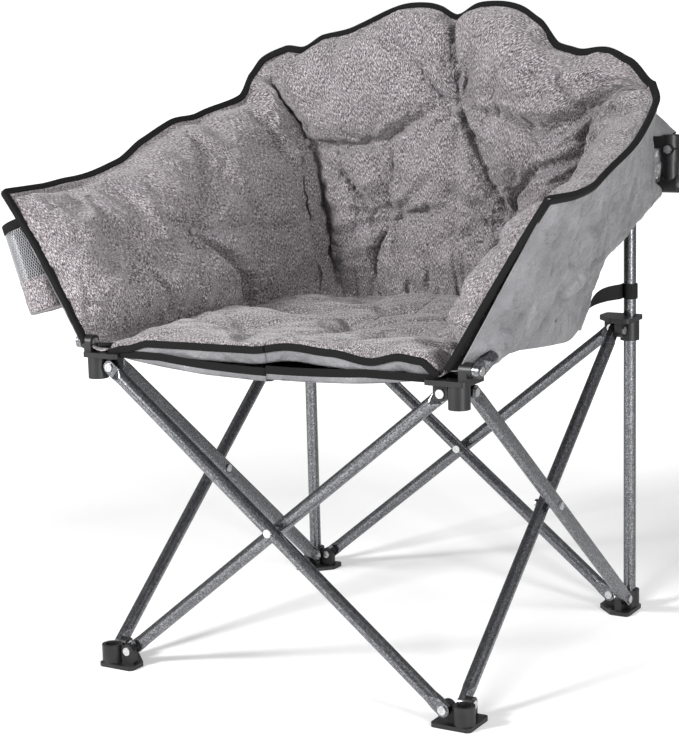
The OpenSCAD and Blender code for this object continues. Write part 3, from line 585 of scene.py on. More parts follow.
def puff(piece, held, cap, growth=0.05, soft=None):
    """Inflates a pad. held are indices that stay, soft are indices that may give a little."""
    mesh = piece.data
    start = np.empty(len(mesh.vertices) * 3)
    mesh.vertices.foreach_get("co", start)
    group = piece.vertex_groups.new(name="held")
    if soft is not None:
        group.add([int(i) for i in soft], SOFT_HOLD, "REPLACE")
    group.add([int(i) for i in held], 1.0, "REPLACE")
    modifier = piece.modifiers.new("puff", "CLOTH")
    setup = modifier.settings
    setup.quality = 5
    setup.mass = 0.3
    setup.tension_stiffness = setup.compression_stiffness = 15
    setup.shear_stiffness = 8
    setup.bending_stiffness = 0.6
    setup.use_pressure = True
    setup.uniform_pressure_force = PRESSURE
    setup.vertex_group_mass = "held"
    setup.shrink_min = -growth
    setup.effector_weights.gravity = 0
    modifier.collision_settings.use_collision = False
    modifier.collision_settings.use_self_collision = False
    modifier.point_cache.frame_start = 1
    modifier.point_cache.frame_end = FRAMES
    for step in range(1, FRAMES + 1):
        bpy.context.scene.frame_set(step)
    blown = piece.evaluated_get(bpy.context.evaluated_depsgraph_get()).data
    end = np.empty(len(blown.vertices) * 3)
    blown.vertices.foreach_get("co", end)
    piece.modifiers.remove(modifier)
    piece.vertex_groups.clear()
    bpy.context.scene.frame_set(1)
    move = (end - start).reshape(-1, 3)
    far = np.linalg.norm(move, axis=1, keepdims=True)
    limit = cap * MM
    move *= limit * np.tanh(far / limit) / np.maximum(far, 1e-9)
    mesh.vertices.foreach_set("co", start + move.ravel())
    mesh.update()
    print(piece.name, "puffed; largest move", round(float(far.max()) / MM, 1), "mm")


print("cloth is blown up for", FRAMES, "frames at a pressure of", PRESSURE)

# %% [markdown]
# ### Back and wings
# The two seams between the back and the wings don't run upright: they lean in towards the seat.
# Buttons and creases are typed as places (s, v). A crease is a line of such places with a depth at
# its start and its end, and it is pressed into the padding before the cloth is blown up.

# %% Seams, buttons and creases of the back
PAD = 50.0
EDGE = 5.0
LEFT_SEAM = [(0, -0.355), (0.41, -0.365), (0.62, -0.382), (0.72, -0.40), (0.86, -0.45),
             (1, -0.508)]
RIGHT_SEAM = [(0, 0.35), (0.41, 0.35), (0.62, 0.352), (0.78, 0.362), (0.9, 0.42), (1, 0.5)]
BACK_BUTTONS = [(0.015, 0.69), (-0.17, 0.345), (0.17, 0.35)]
SEAM_BUTTONS = [(-0.388, 0.66), (0.363, 0.79)]
BACK_CREASES = [
    ([(0.015, 0.69), (0.018, 0.85), (0.005, 1.0)], 34, 18),
    ([(0.015, 0.69), (0.055, 0.60), (0.11, 0.49), (0.17, 0.35)], 32, 26),
    ([(0.015, 0.69), (-0.05, 0.76), (-0.145, 0.88)], 18, 4),
    ([(-0.37, 0.655), (-0.30, 0.625), (-0.18, 0.60), (-0.08, 0.655), (0.015, 0.69)], 30, 16),
    ([(0.015, 0.69), (0.12, 0.665), (0.25, 0.67), (0.345, 0.77)], 16, 30),
    ([(-0.17, 0.345), (-0.21, 0.37), (-0.26, 0.47), (-0.31, 0.59)], 24, 10),
    ([(-0.17, 0.345), (-0.21, 0.24), (-0.24, 0.05)], 24, 16),
    ([(-0.17, 0.345), (-0.08, 0.35), (0.0, 0.37)], 18, 3),
    ([(-0.17, 0.345), (-0.16, 0.5), (-0.15, 0.6)], 16, 8),
    ([(0.17, 0.35), (0.19, 0.44), (0.25, 0.54), (0.34, 0.62)], 26, 16),
    ([(0.17, 0.35), (0.2, 0.2), (0.23, 0.04)], 24, 16),
    ([(0.17, 0.35), (0.1, 0.33), (0.02, 0.35)], 18, 3),
    ([(0.345, 0.77), (0.30, 0.85), (0.24, 0.95)], 16, 4),
]
print("the back has", len(BACK_BUTTONS), "tufts and", len(BACK_CREASES), "creases")

# %% [markdown]
# A tuft is a wide, soft pit with a button at its bottom, and a crease is a narrow valley. Where
# they meet, the deeper one wins, so a crease runs into a tuft without a step.

# %% Press in tufts and creases
CREASE_W = 10.0
TUFT_W = 36.0
TUFT_DEPTH = 24.0
BUTTON_D = 12.0


def far_from(points, line):
    """Each point's distance to the nearest place on a line of (s, v) knots, and how far along."""
    knots = np.array(line, float)
    t = np.linspace(0, len(knots) - 1, 24 * (len(knots) - 1) + 1)
    dots = outside(np.interp(t, range(len(knots)), knots[:, 0]),
                   np.interp(t, range(len(knots)), knots[:, 1]))
    gaps = np.linalg.norm(points[..., None, :] - dots, axis=-1)
    nearest = gaps.argmin(axis=-1)
    return gaps.min(axis=-1), nearest / (len(t) - 1)


def pressed_in(points, buttons, creases):
    """How deep the buttons and the creases press the padding in, in millimetres."""
    depth = np.zeros(points.shape[:-1])
    for line, first, last in creases:
        gap, share = far_from(points, line)
        depth = np.maximum(depth, (first + (last - first) * share)
                           * np.exp(-(gap / CREASE_W) ** 2))
    for button in buttons:
        gap = np.linalg.norm(points - outside(*button), axis=-1)
        depth = np.maximum(depth, TUFT_DEPTH * np.exp(-(gap / TUFT_W) ** 1.4))
        depth = np.where(gap < BUTTON_D, np.minimum(depth, TUFT_DEPTH), depth)
    return depth


print("depth in a tuft:", pressed_in(outside(*BACK_BUTTONS[0])[None], BACK_BUTTONS, []).round(1))

# %% [markdown]
# Sewn cloth also gathers into small folds that the blown-up cloth is too coarse for. They start at
# the rim, at the seat, at the side seams and along the creases, and they run out from the buttons
# like rays. They are thin lines of noise, stretched the way each fold runs.

# %% Gather the cloth in small folds
# Folds: (depth, reach from where they start) at the rim, at the seat and at the side seams
RIM_FOLDS, SEAT_FOLDS, SEAM_FOLDS = (8.0, 60.0), (9.0, 95.0), (8.0, 60.0)
FOLD_W = 0.17
CREASE_FOLDS, CREASE_REACH, CREASE_FOLD_W = 5.0, 36.0, 0.08
DIMPLES = 3.0
RAY_DEPTH = 13.0
RAY_CATCH = 20.0


def gathers(back, v, u, buttons, creases, seed):
    """Small folds along the sewn edges, the creases and round the buttons, in millimetres."""
    run = np.cumsum(np.linalg.norm(np.diff(back[:, :1], axis=0, prepend=back[:1, :1]), axis=-1),
                    axis=0) + 0 * v
    height = back[:, -1:, 2] - back[:, :1, 2]
    under, over = (1 - v) * height, v * height
    aside = np.minimum(u, 1 - u) * run[-1:]
    zero = 0 * v
    upright = np.stack([run / 26, under / 140, zero], -1)
    level = np.stack([aside / 130, over / 28, zero], -1)
    folds = 0 * v
    for k, (way, far, (depth, reach)) in enumerate((
            (upright, under, RIM_FOLDS), (upright, over, SEAT_FOLDS), (level, aside, SEAM_FOLDS))):
        folds += depth * lines(way, seed + k, FOLD_W) * np.exp(-(far / reach) ** 2)
    folds += DIMPLES * soft_noise(np.stack([run / 26, over / 32, zero], -1), 1, seed + 3)
    near = 0 * v
    for line, _, _ in creases:
        near = np.maximum(near, np.exp(-(far_from(back, line)[0] / CREASE_REACH) ** 2))
    folds += CREASE_FOLDS * near * lines(np.stack([run / 30, over / 30, zero], -1), seed + 4,
                                         CREASE_FOLD_W)
    for k, button in enumerate(buttons + SEAM_BUTTONS):
        spot = outside(*button)
        gaps = np.linalg.norm(back - spot, axis=-1)
        if gaps.min() < RAY_CATCH:
            folds += RAY_DEPTH * rays(run - run.flat[gaps.argmin()], back[..., 2] - spot[2],
                                seed + 1.7 * k)
    return folds


print("folds are up to", max(RIM_FOLDS[0], SEAT_FOLDS[0], SEAM_FOLDS[0]), "mm deep")

# %% [markdown]
# One function sews a panel. It lays a grid between two seams, gives it a rounded thickness with
# the tufts pressed in, holds the edges, the backing and the buttons, and blows it up. The result
# is read back on a finer grid, and the small folds are added there. At a bound edge the first
# millimetres stay thin, so that the tape can close over them.

# %% One padded panel, and the back
TUCK = 11.0
SHOULDER = 62.0
BOUND_SHOULDER = 52.0
FOOT_SHARE = 0.26
# The padding rolls upwards just under the rim: (place v, width)
ROLL = (0.93, 0.06)


def swelling(distance, start, reach):
    """The round shoulder of a pad: 0 up to start millimetres from its edge, 1 after reach more."""
    share = np.clip((distance - start) / reach, 0, 1)
    return np.sqrt(1 - (1 - share) ** 2)


def panel(name, seams, n, m, buttons, creases, finish, roll, cap, seed, bound_end=False):
    """A padded panel between two seams, each a table of (v, s) knots, and its tufts' points."""
    # The rows lie a little closer together at the rim, where the padding rolls over
    u, v = np.meshgrid(np.linspace(0, 1, n), np.linspace(0, 1, m) ** 0.92, indexing="ij")
    s = flowing(seams[0], v) * (1 - u) + flowing(seams[1], v) * u
    back = outside(s, v)
    towards = inward(s, v)
    length = np.linalg.norm(np.diff(back[:, m // 2], axis=0), axis=-1).sum()
    height = back[:, -1:, 2] - back[:, :1, 2]
    last = (1 - u) * length
    end = (TUCK, BOUND_SHOULDER) if bound_end else (1, SHOULDER)
    side = swelling(u * length, 1, SHOULDER) * swelling(last, *end)
    rise = np.minimum(1, v / FOOT_SHARE) ** 1.2 \
        * swelling((1 - v) * height, TUCK, BOUND_SHOULDER)
    full = EDGE + (PAD - EDGE) * side * rise
    thick = np.maximum(EDGE, full - pressed_in(back, buttons, creases) * side * rise)
    front = back + towards * thick[..., None]
    front[..., 2] += roll * side * np.exp(-((v - ROLL[0]) / ROLL[1]) ** 2) * (thick / PAD)
    piece = pad_piece(name, front, back + towards * 0.5, finish)
    ids = np.arange(n * m).reshape(n, m)
    edge = np.concatenate([ids[0], ids[-1], ids[:, 0], ids[:, -1]])
    gaps = [np.linalg.norm(back - outside(*b), axis=-1) for b in buttons]
    tufts = [gap.argmin() for gap in gaps]
    discs = np.concatenate([np.flatnonzero((gap < BUTTON_D * 0.8).ravel()) for gap in gaps])
    folds = [np.flatnonzero((far_from(back, line)[0] < CREASE_W * 0.4).ravel())
             for line, _, _ in creases]
    hollows = [np.flatnonzero((gap < 2 * BUTTON_D).ravel()) for gap in gaps]
    tucked = np.flatnonzero((((1 - v) * height < TUCK - 1) | (bound_end & (last < TUCK - 1))
                             ).ravel())
    held = np.concatenate([edge, tucked, np.arange(n * m, 2 * n * m), discs])
    puff(piece, held, cap, soft=np.concatenate(folds + hollows))
    shape = np.array([p.co for p in piece.data.vertices[:n * m]])
    front = finer(((shape - centre) / MM).reshape(n, m, 3))
    bpy.data.objects.remove(piece)
    back, towards, v, u, thick = (finer(g) for g in (back, towards, v, u, thick))
    push = gathers(back, v, u, buttons, creases, seed) * np.clip((thick - EDGE) / 10, 0, 1)
    front = front + towards * push[..., None]
    piece = pad_piece(name, front, back + towards * 0.5, finish)
    return piece, [2 * (i // m) * (2 * m - 1) + 2 * (i % m) for i in tufts]


back_pad, back_tufts = panel("back_padding", (LEFT_SEAM, RIGHT_SEAM), 138, 74, BACK_BUTTONS,
                             BACK_CREASES, cloth, 12.0, 22.0, 1)
print("back padding:", len(back_pad.data.vertices), "points")

# %% [markdown]
# ### Wings
# A wing is a panel like the back, from the seam at the back to the bound edge in front. The left
# one is typed as the mirror of the right one, but its small folds get another seed, as no two sewn
# panels wrinkle alike.

# %% Left and right wing
WING_BUTTONS = [(0.752, 0.53), (0.885, 0.56)]
WING_CREASES = [
    ([(0.752, 0.53), (0.728, 0.68), (0.69, 0.84), (0.675, 0.97)], 28, 12),
    ([(0.752, 0.53), (0.705, 0.32), (0.645, 0.05)], 26, 18),
    ([(0.752, 0.53), (0.82, 0.52), (0.885, 0.56)], 18, 12),
    ([(0.752, 0.53), (0.67, 0.50), (0.58, 0.42)], 14, 5),
    ([(0.885, 0.56), (0.90, 0.70), (0.885, 0.88)], 14, 5),
    ([(0.885, 0.56), (0.86, 0.3), (0.83, 0.06)], 10, 8),
    ([(0.56, 0.93), (0.53, 0.7), (0.50, 0.45), (0.49, 0.12)], 6, 12),
    ([(0.46, 0.6), (0.45, 0.35), (0.455, 0.08)], 10, 12),
]
FRONT_SEAM = [(0, 1.0), (1, 1.0)]


def mirrored(line):
    return [(-s, v) for s, v in line]


def mirrored_seam(seam):
    return [(v, -s) for v, s in seam]


right_wing, right_tufts = panel("right_wing_padding", (RIGHT_SEAM, FRONT_SEAM), 92, 56,
                                WING_BUTTONS, WING_CREASES, cloth, 12.0, 20.0, 11, True)
left_wing, left_tufts = panel(
    "left_wing_padding", (LEFT_SEAM, mirrored_seam(FRONT_SEAM)), 92, 56,
    mirrored(WING_BUTTONS), [(mirrored(line), a, b) for line, a, b in WING_CREASES], cloth,
    12.0, 20.0, 21, True)
print("wings:", len(right_wing.data.vertices) + len(left_wing.data.vertices), "points")

# %% [markdown]
# ### Seat
# The seat is one padded panel over a slung sheet. It is blown up whole, so that its top is one
# smooth surface, and then cut in two, because each half rides on its own body when the chair folds.

# %% Seat panel
SEAT_FRONT_Y = -292.5
SEAT_BACK_Y = 238.6
SEAT_HALF_W = 262.0
SEAT_BACK_HALF_W = 222.0
SEAT_Z = 468.8
SEAT_SAG = 18.0
SEAT_CREST = 20.0
SEAT_EDGE_T = 9.0
# Depth and width of a tuft in the seat
SEAT_PIT = (15.0, 40.0)
# Behind this y the seat's corners are cut in, by this share of its width at the back
SEAT_CORNER_Y, SEAT_CORNER_CUT = 100.0, 0.4
# Height of the seat's front edge, as (x, z)
FRONT_EDGE = [(-262, 473), (-235, 479), (-190, 489), (-107, 490), (-25, 491), (39, 499),
              (101, 495), (160, 487), (205, 496), (234, 493), (262, 477)]
SEAT_TUFTS = [(-118, -145), (118, -145), (-118, 15), (118, 15), (-105, 158), (105, 158),
              (0, -60), (0, 95)]


def seat_half(y):
    back = np.clip((SEAT_BACK_Y - y) / (SEAT_BACK_Y - SEAT_FRONT_Y), 0, 1)
    corner = np.clip((y - SEAT_CORNER_Y) / (SEAT_BACK_Y - SEAT_CORNER_Y), 0, 1)
    return (SEAT_BACK_HALF_W + (SEAT_HALF_W - SEAT_BACK_HALF_W) * np.sqrt(back)) \
        * (1 - SEAT_CORNER_CUT * corner ** 2)


def seat_surface(u, v):
    """The underside's points: u from -1 to 1 across, v from 0 at the front to 1."""
    y = SEAT_FRONT_Y + (SEAT_BACK_Y - SEAT_FRONT_Y) * v
    x = seat_half(y) * u
    sag = SEAT_SAG * (1 - u ** 2) ** 2 * (1 - np.abs(2 * v - 1) ** 4)
    front = (eased(FRONT_EDGE, x) - SEAT_Z - 11) * np.exp(-(v / 0.09) ** 1.5)
    return np.stack([x, y + 0 * u, SEAT_Z + 0.3 - sag + np.maximum(0, front)], -1)


u, v = np.meshgrid(np.linspace(-1, 1, 73), np.linspace(0, 1, 73), indexing="ij")
seat_low = seat_surface(u, v)
plump = (1 - np.abs(u) ** 6) ** 0.5 * (1 - np.abs(2 * v - 1) ** 6) ** 0.5
dents = np.zeros(u.shape)
for place in SEAT_TUFTS:
    gap = np.linalg.norm(seat_low[..., :2] - place, axis=-1)
    dents = np.maximum(dents, SEAT_PIT[0] * np.exp(-(gap / SEAT_PIT[1]) ** 1.5))
seat_top = seat_low.copy()
seat_top[..., 2] += SEAT_EDGE_T + (SEAT_CREST - dents) * plump
seat = pad_piece("seat_padding", seat_top, seat_low, cloth)
ids = np.arange(u.size).reshape(u.shape)
seat_edge = np.concatenate([ids[0], ids[-1], ids[:, 0], ids[:, -1]])
seat_holds = [np.linalg.norm(seat_low[..., :2] - p, axis=-1).argmin() for p in SEAT_TUFTS]
puff(seat, np.concatenate([seat_edge, np.arange(u.size, 2 * u.size), seat_holds]), 12.0,
     growth=0.06)
# Folds across the seat, and slanting ones between them, as a sitter leaves them
drawn = np.stack([seat_low[..., 0] / 130, (seat_low[..., 1] + 0.15 * seat_low[..., 0]) / 38,
                  0 * u], -1)
slant = np.stack([(seat_low[..., 0] - seat_low[..., 1]) / 60, seat_low[..., 1] / 90, 0 * u], -1)
creased = 4.5 * lines(drawn, 71, 0.14) + 3.5 * lines(slant, 72, 0.12)
shape = np.empty(len(seat.data.vertices) * 3)
seat.data.vertices.foreach_get("co", shape)
shape.reshape(-1, 3)[:u.size, 2] += (creased * plump).ravel() * MM
seat.data.vertices.foreach_set("co", shape)
smoother = seat.modifiers.new("smoother", "SUBSURF")
smoother.levels = smoother.render_levels = 1
print("seat panel:", len(seat.data.vertices), "points")

# %% [markdown]
# The cut is made with bmesh, at a hair's breadth from the middle, and each cut is closed again. So
# both halves are solid pads, and the gap between them doesn't show.

# %% Cut the seat in two


def baked(piece, name):
    """A plain mesh object in the shape that a piece has with its modifiers."""
    view = bpy.context.evaluated_depsgraph_get()
    mesh = bpy.data.meshes.new_from_object(piece.evaluated_get(view), depsgraph=view)
    mesh.name = name
    made = bpy.data.objects.new(name, mesh)
    bpy.context.scene.collection.objects.link(made)
    return made


def half_of(piece, name, side):
    """The part of a closed piece on one side of the middle, with the cut closed."""
    made = baked(piece, name)
    shape = bmesh.new()
    shape.from_mesh(made.data)
    cut = bmesh.ops.bisect_plane(
        shape, geom=shape.verts[:] + shape.edges[:] + shape.faces[:],
        plane_co=(centre[0] + side * 0.2 * MM, 0, 0), plane_no=(side, 0, 0), clear_inner=True)
    rim = [e for e in cut["geom_cut"] if isinstance(e, bmesh.types.BMEdge)]
    bmesh.ops.holes_fill(shape, edges=rim)
    bmesh.ops.recalc_face_normals(shape, faces=shape.faces)
    shape.to_mesh(made.data)
    shape.free()
    return made


seat_right = half_of(seat, "right_seat_padding", 1)
seat_left = half_of(seat, "left_seat_padding", -1)
bpy.data.objects.remove(seat)
print("seat halves:", len(seat_right.data.polygons), len(seat_left.data.polygons), "faces")

# %% [markdown]
# ## Edge binding
# A folded black tape closes the raw edges of the cover. It is a soft band, 11 mm deep and about
# 9 mm thick round the padding, swept along the rim. A sweep needs a path and two directions at each
# point: through the cloth, and down into the panel.

# %% Sweep a tape along a path


def swept(name, path, through, down, half_t, half_d, finish, closed=False, corner=0.45, sides=14):
    """A solid band along a path: half_t and half_d are half its thickness and half its depth.

    corner rounds the section off: 1 gives an ellipse, and less makes it squarer.
    """
    turn = np.linspace(0, 2 * np.pi, sides, endpoint=False)
    a = np.sign(np.cos(turn)) * np.abs(np.cos(turn)) ** corner * half_t
    b = np.sign(np.sin(turn)) * np.abs(np.sin(turn)) ** corner * half_d
    ring = path[:, None] + through[:, None] * a[:, None] + down[:, None] * b[:, None]
    n = len(path)
    ids = np.arange(n * sides).reshape(n, sides)
    wrapped = np.column_stack([ids, ids[:, :1]])
    if closed:
        wrapped = np.vstack([wrapped, wrapped[:1]])
    faces = [list(f) for f in quads(wrapped)]
    if not closed:
        faces += [list(ids[0]), list(ids[-1][::-1])]
    length = np.concatenate([[0], np.cumsum(np.linalg.norm(np.diff(path, axis=0), axis=1))]) * MM
    weave = np.stack(np.broadcast_arrays(length[:, None], np.linspace(0, 0.03, sides)), -1)
    piece = new_piece(name, ring.reshape(-1, 3), faces, weave.reshape(-1, 2), finish)
    turn_outwards(piece)
    return piece


print("sweep ready")

# %% [markdown]
# The tape stands a little proud of the edge, so that no cloth shows beyond it. At a wing's tip its
# path turns down in a short bend, and the way into the panel is smoothed along it, so that the band
# doesn't twist.

# %% Bindings of the back and the wings
TAPE_T = 4.5
TAPE_D = 5.4
TAPE_OUT = 1.3
TAPE_OVER = 2.5
TIP_S, TIP_V = 0.985, 0.965


def rim_frame(s, v, into):
    """Path and directions for a tape on the cover's edge. into points into the panel."""
    through = inward(s, v)
    path = outside(s, v) + through * (EDGE / 2 - TAPE_OUT)
    ahead = unit(np.gradient(path, axis=0))
    down = unit(into - ahead * (into * ahead).sum(-1, keepdims=True))
    through = np.cross(ahead, down)
    return path + down * (TAPE_D - TAPE_OVER), through, down


def edge_path(side, from_s):
    """(s, v) along a wing's rim from a seam to its tip, round it and down its front edge."""
    rim_s = np.linspace(from_s, TIP_S, 90)
    front_v = np.linspace(TIP_V, 0.0, 60)
    bend = np.radians(np.linspace(10, 80, 8))
    s = np.concatenate([rim_s, TIP_S + (1 - TIP_S) * np.sin(bend) ** 0.7, np.full(60, 1.0)])
    v = np.concatenate([np.ones(90), TIP_V + (1 - TIP_V) * np.cos(bend) ** 0.7, front_v])
    return s * side, v


def panel_down(s, v):
    return unit(outside(s, np.maximum(0, v - 0.03)) - outside(s, np.minimum(1, v)))


def panel_back(s, v):
    return unit(outside(s * 0.97, v) - outside(s, v))


def wing_tape(name, side, from_s):
    s, v = edge_path(side, from_s)
    into = np.where((v[:, None] > 0.98) & (np.abs(s)[:, None] < 0.99), panel_down(s, v - 0.001),
                    panel_back(s, v))
    for _ in range(6):
        into[1:-1] = (into[:-2] + into[1:-1] * 2 + into[2:]) / 4
    path, through, down = rim_frame(s, v, into)
    return swept(name, path, through, down, TAPE_T, TAPE_D, tape_finish), path, through, down


right_tape, right_path, right_through, right_down = wing_tape("right_wing_binding", 1, 0.5)
left_tape, left_path, left_through, left_down = wing_tape("left_wing_binding", -1, 0.51)
s = np.linspace(-0.51, 0.5, 190)
v = np.ones(190)
back_path, back_through, back_down = rim_frame(s, v, panel_down(s, v - 0.001))
back_tape = swept("back_binding", back_path, back_through, back_down, TAPE_T, TAPE_D, tape_finish)
print("bindings:", round(float(np.linalg.norm(np.diff(back_path, axis=0), axis=1).sum())),
      "mm on the back")

# %% [markdown]
# The seat has tape along its front edge only. The tape follows the edge's waves, and it is made in
# two parts that meet in the middle, one for each half of the seat.

# %% Binding at the front of the seat
x = np.linspace(-SEAT_HALF_W, SEAT_HALF_W, 150)
edge_z = eased(FRONT_EDGE, x)
front_path = np.stack([x, 0 * x + SEAT_FRONT_Y - 1.0, edge_z - 5.5], -1)
ahead = unit(np.gradient(front_path, axis=0))
down = np.tile((0.0, 0.0, -1.0), (len(x), 1))
down = unit(down - ahead * (down * ahead).sum(-1, keepdims=True))
halves = {}
for side, word in SIDES:
    keep = x * side > -2
    halves[side] = [swept(f"{word}_seat_binding", front_path[keep],
                          np.cross(ahead, down)[keep], down[keep], 3.4, 5.0, tape_finish)]
print("front edge of the seat from", edge_z.min().round(), "to", edge_z.max().round(), "mm")

# %% [markdown]
# Under the binding hangs a short lip of lining, and behind it the slung sheet with its black hem.
# The sheet carries the sitter between the hubs, so it sags most in the middle.

# %% Lip and sling
HEM_Z = 464.0
HEM_SAG = 20.0


def hem_z(x):
    """Height of the sling's front hem, which sags a little more in its left half."""
    bow = np.clip(1 - (x / SEAT_HALF_W) ** 2, 0, 1) ** 0.9
    return HEM_Z - HEM_SAG * bow * (1 - 0.08 * np.sign(x))


for side, word in SIDES:
    x = np.linspace(0.2, 258, 60) * side
    drop = np.linspace(0, 1, 9)
    top = eased(FRONT_EDGE, x) - 8
    foot = np.minimum(top - 3, np.maximum(hem_z(x) + 8, top - 17))
    lip = np.stack(np.broadcast_arrays(
        x[:, None], SEAT_FRONT_Y - 0.5 + 5 * drop ** 2, top[:, None]
        + (foot - top)[:, None] * drop), -1).copy()
    lip[..., 1] += 2.2 * soft_noise(lip, 34, 3) * drop
    halves[side].append(sheet_piece(f"{word}_seat_lip", lip, lining, 1.2, flip=side > 0))
    deep = np.linspace(0, 1, 40)
    u, v = np.meshgrid(np.linspace(0.001, 0.97, 34) * side, deep, indexing="ij")
    sling = seat_surface(u, v)
    sling[..., 2] = SEAT_Z - 1.5 - SEAT_SAG * (1 - u ** 2) ** 2 * (1 - np.abs(2 * v - 1) ** 4) \
        - 1.5 - (HEM_Z - hem_z(sling[..., 0])) * np.exp(-(v / 0.1) ** 2)
    up = np.linspace(1, 0, 5)[:-1]
    skirt = sling[:, :1] + np.stack([0 * up, -0.6 * up, 13 * up], -1)
    skirt[..., 2] = np.minimum(skirt[..., 2], SEAT_Z - 2)
    sling = np.concatenate([skirt, sling], axis=1)
    sling[..., 2] += 1.2 * soft_noise(sling, 60, 5)
    halves[side].append(sheet_piece(f"{word}_seat_sling_cloth", sling, lining, 1.2,
                                    flip=side > 0))
    hem = np.stack([x, np.full(60, SEAT_FRONT_Y - 0.4),
                    np.minimum(hem_z(x) + 14.5, SEAT_Z - 3)], -1)
    ahead = unit(np.gradient(hem, axis=0))
    down = unit(np.array((0.0, 0.0, -1.0)) - ahead * (-ahead[:, 2:]))
    halves[side].append(swept(f"{word}_sling_hem", hem, np.cross(ahead, down), down, 1.4, 5.5,
                              tape_finish))
print("sling hem lowest at", round(float(hem_z(0.0)), 1), "mm")

# %% [markdown]
# A strip of cover cloth closes the gap between the seat's side and the foot of each wing. It hangs
# in a little belly between its two seams, as a loose strip does.

# %% Side gussets
gussets = {}
for side, word in SIDES:
    s = np.linspace(0.60, 0.997, 60)
    foot = outside(s * side, 0.012) + inward(s * side, 0.0) * 3.0
    rim_y = foot[:, 1]
    inner = np.stack([seat_half(rim_y) * side * 0.975, rim_y, 0 * rim_y + SEAT_Z + 3], -1)
    inner[:, 0] = side * np.minimum(np.abs(inner[:, 0]), np.abs(foot[:, 0]) - 8)
    share = np.linspace(0, 1, 12)[:, None]
    strip = np.array([a + (b - a) * share for a, b in zip(inner, foot)])
    strip[..., 2] += 3.0 * soft_noise(strip, 26, 61) * np.sin(np.pi * share[:, 0]) \
        - 6 * np.sin(np.pi * share[:, 0]) ** 1.5
    gussets[side] = sheet_piece(f"{word}_side_gusset", strip, cloth, 1.2, flip=side > 0)
print("gussets:", len(gussets))

# %% [markdown]
# ## Lining
# The outside of the cover is a second skin of light grey cloth. Behind the back it lies close. At
# the sides it is stretched over the arm tubes, which makes a ridge along each arm, and it tucks
# under to the lower edge. A stretched cloth takes the shortest way round, so each cross-section is
# the convex hull of the wing and the tube.

# %% Where the arms run
ARM_CLEAR = 12.5
FRONT_ARM = np.array([314.5, -287.5, 479.0])
REAR_ARM = np.array([335.5, 287.5, 667.0])
ARM_STEP = 21.0
# The rear tube lies beside the front one: (share of the arm, mm outwards)
ARM_STEPS = [(0, 2), (0.34, 4), (0.44, ARM_STEP), (1, ARM_STEP)]


def tube_at(origin, out, side):
    """Where the arm crosses the upright plane through origin and out: front tube, then rear."""
    a, b = FRONT_ARM * (side, 1, 1), REAR_ARM * (side, 1, 1)
    b[0] = a[0]
    normal = np.cross(out, (0, 0, 1))
    t = np.clip(((origin - a) @ normal) / ((b - a) @ normal), 0, 1)
    return a + (b - a) * t + (side * eased(ARM_STEPS, t), 0, 0)


print("an arm is", round(float(np.linalg.norm(REAR_ARM - FRONT_ARM))), "mm long")

# %% [markdown]
# For one section, the dots of the wing's outside and of a circle round the tube are put in order
# from the rim down. Going through them, every dot that lies inside the line of its neighbours is
# dropped, and what stays is the stretched cloth. Under the tube it is drawn in again to a waist,
# because the lining is sewn to the cover's lower edge.

# %% Convex sections over the arm tubes
LINING_GAP = 2.5
WAIST = 0.66
# How much the tube pushes the lining out, and how much the waist draws it in, along the cover
TUBE_PUSH = [(0.38, 0), (0.50, 1), (0.93, 1), (1.0, 0.25)]
WAIST_PULL = [(0.4, 1), (0.62, 0.9), (0.85, 0)]


def hull_section(s, side, rows):
    """Points from the rim to the lower edge over the wing and the arm tube at one station."""
    v = np.linspace(1, 0, 30)
    wing = outside(s * side, v)
    out = -inward(s * side, 0.5)
    origin = wing[15]
    tube = tube_at(origin, out, side)
    centre_o, centre_z = (tube - origin) @ out, tube[2]
    ease = eased(TUBE_PUSH, s)
    flat_o = np.interp(centre_z, wing[::-1, 2], ((wing - origin) @ out)[::-1])
    centre_o = flat_o + (centre_o - flat_o) * ease
    turn = np.linspace(0, 2 * np.pi, 24, endpoint=False)
    radius = ARM_CLEAR * ease
    dots = np.concatenate([
        np.column_stack([(wing - origin) @ out + LINING_GAP * np.minimum(1, 0.2 + (1 - v) * 12),
                         wing[:, 2]]),
        np.column_stack([centre_o + radius * np.cos(turn), centre_z + radius * np.sin(turn)])])
    dots = dots[(dots[:, 1] <= wing[0, 2]) & (dots[:, 1] >= wing[-1, 2])]
    dots = dots[np.argsort(-dots[:, 1], kind="stable")]
    chain = []
    for dot in dots:
        while len(chain) > 1 and np.cross(chain[-1] - chain[-2], dot - chain[-1]) >= 0:
            chain.pop()
        chain.append(dot)
    chain = np.array(chain)
    run = np.concatenate([[0], np.cumsum(np.linalg.norm(np.diff(chain, axis=0), axis=1))])
    at = np.linspace(0, run[-1], rows)
    o, z = np.interp(at, run, chain[:, 0]), np.interp(at, run, chain[:, 1])
    below = np.clip((centre_z - radius - z) / max(1.0, centre_z - radius - z[-1]), 0, 1)
    close = np.interp(z, wing[::-1, 2], ((wing - origin) @ out)[::-1]) + LINING_GAP
    o -= (o - close) * WAIST * np.sin(np.pi * below) * eased(WAIST_PULL, s)
    # The section's foot and head stay on the wing. Between them it leans along the wing's plan.
    plan = np.column_stack([np.interp(z, wing[::-1, 2], wing[::-1, k]) for k in (0, 1)])
    along_out = (plan - origin[:2]) @ out[:2]
    return np.column_stack([plan + out[:2] * (o - along_out)[:, None], z])


print("a side section has", len(hull_section(0.7, 1, 80)), "points")

# %% [markdown]
# A side lining is a row of such sections. It hangs loose between its seams, so noise and drawn
# folds push it in and out there, and where it would sink into a tube it is lifted off again. The
# lining of the back needs no sections, as no tube lies under it.

# %% Side and back linings


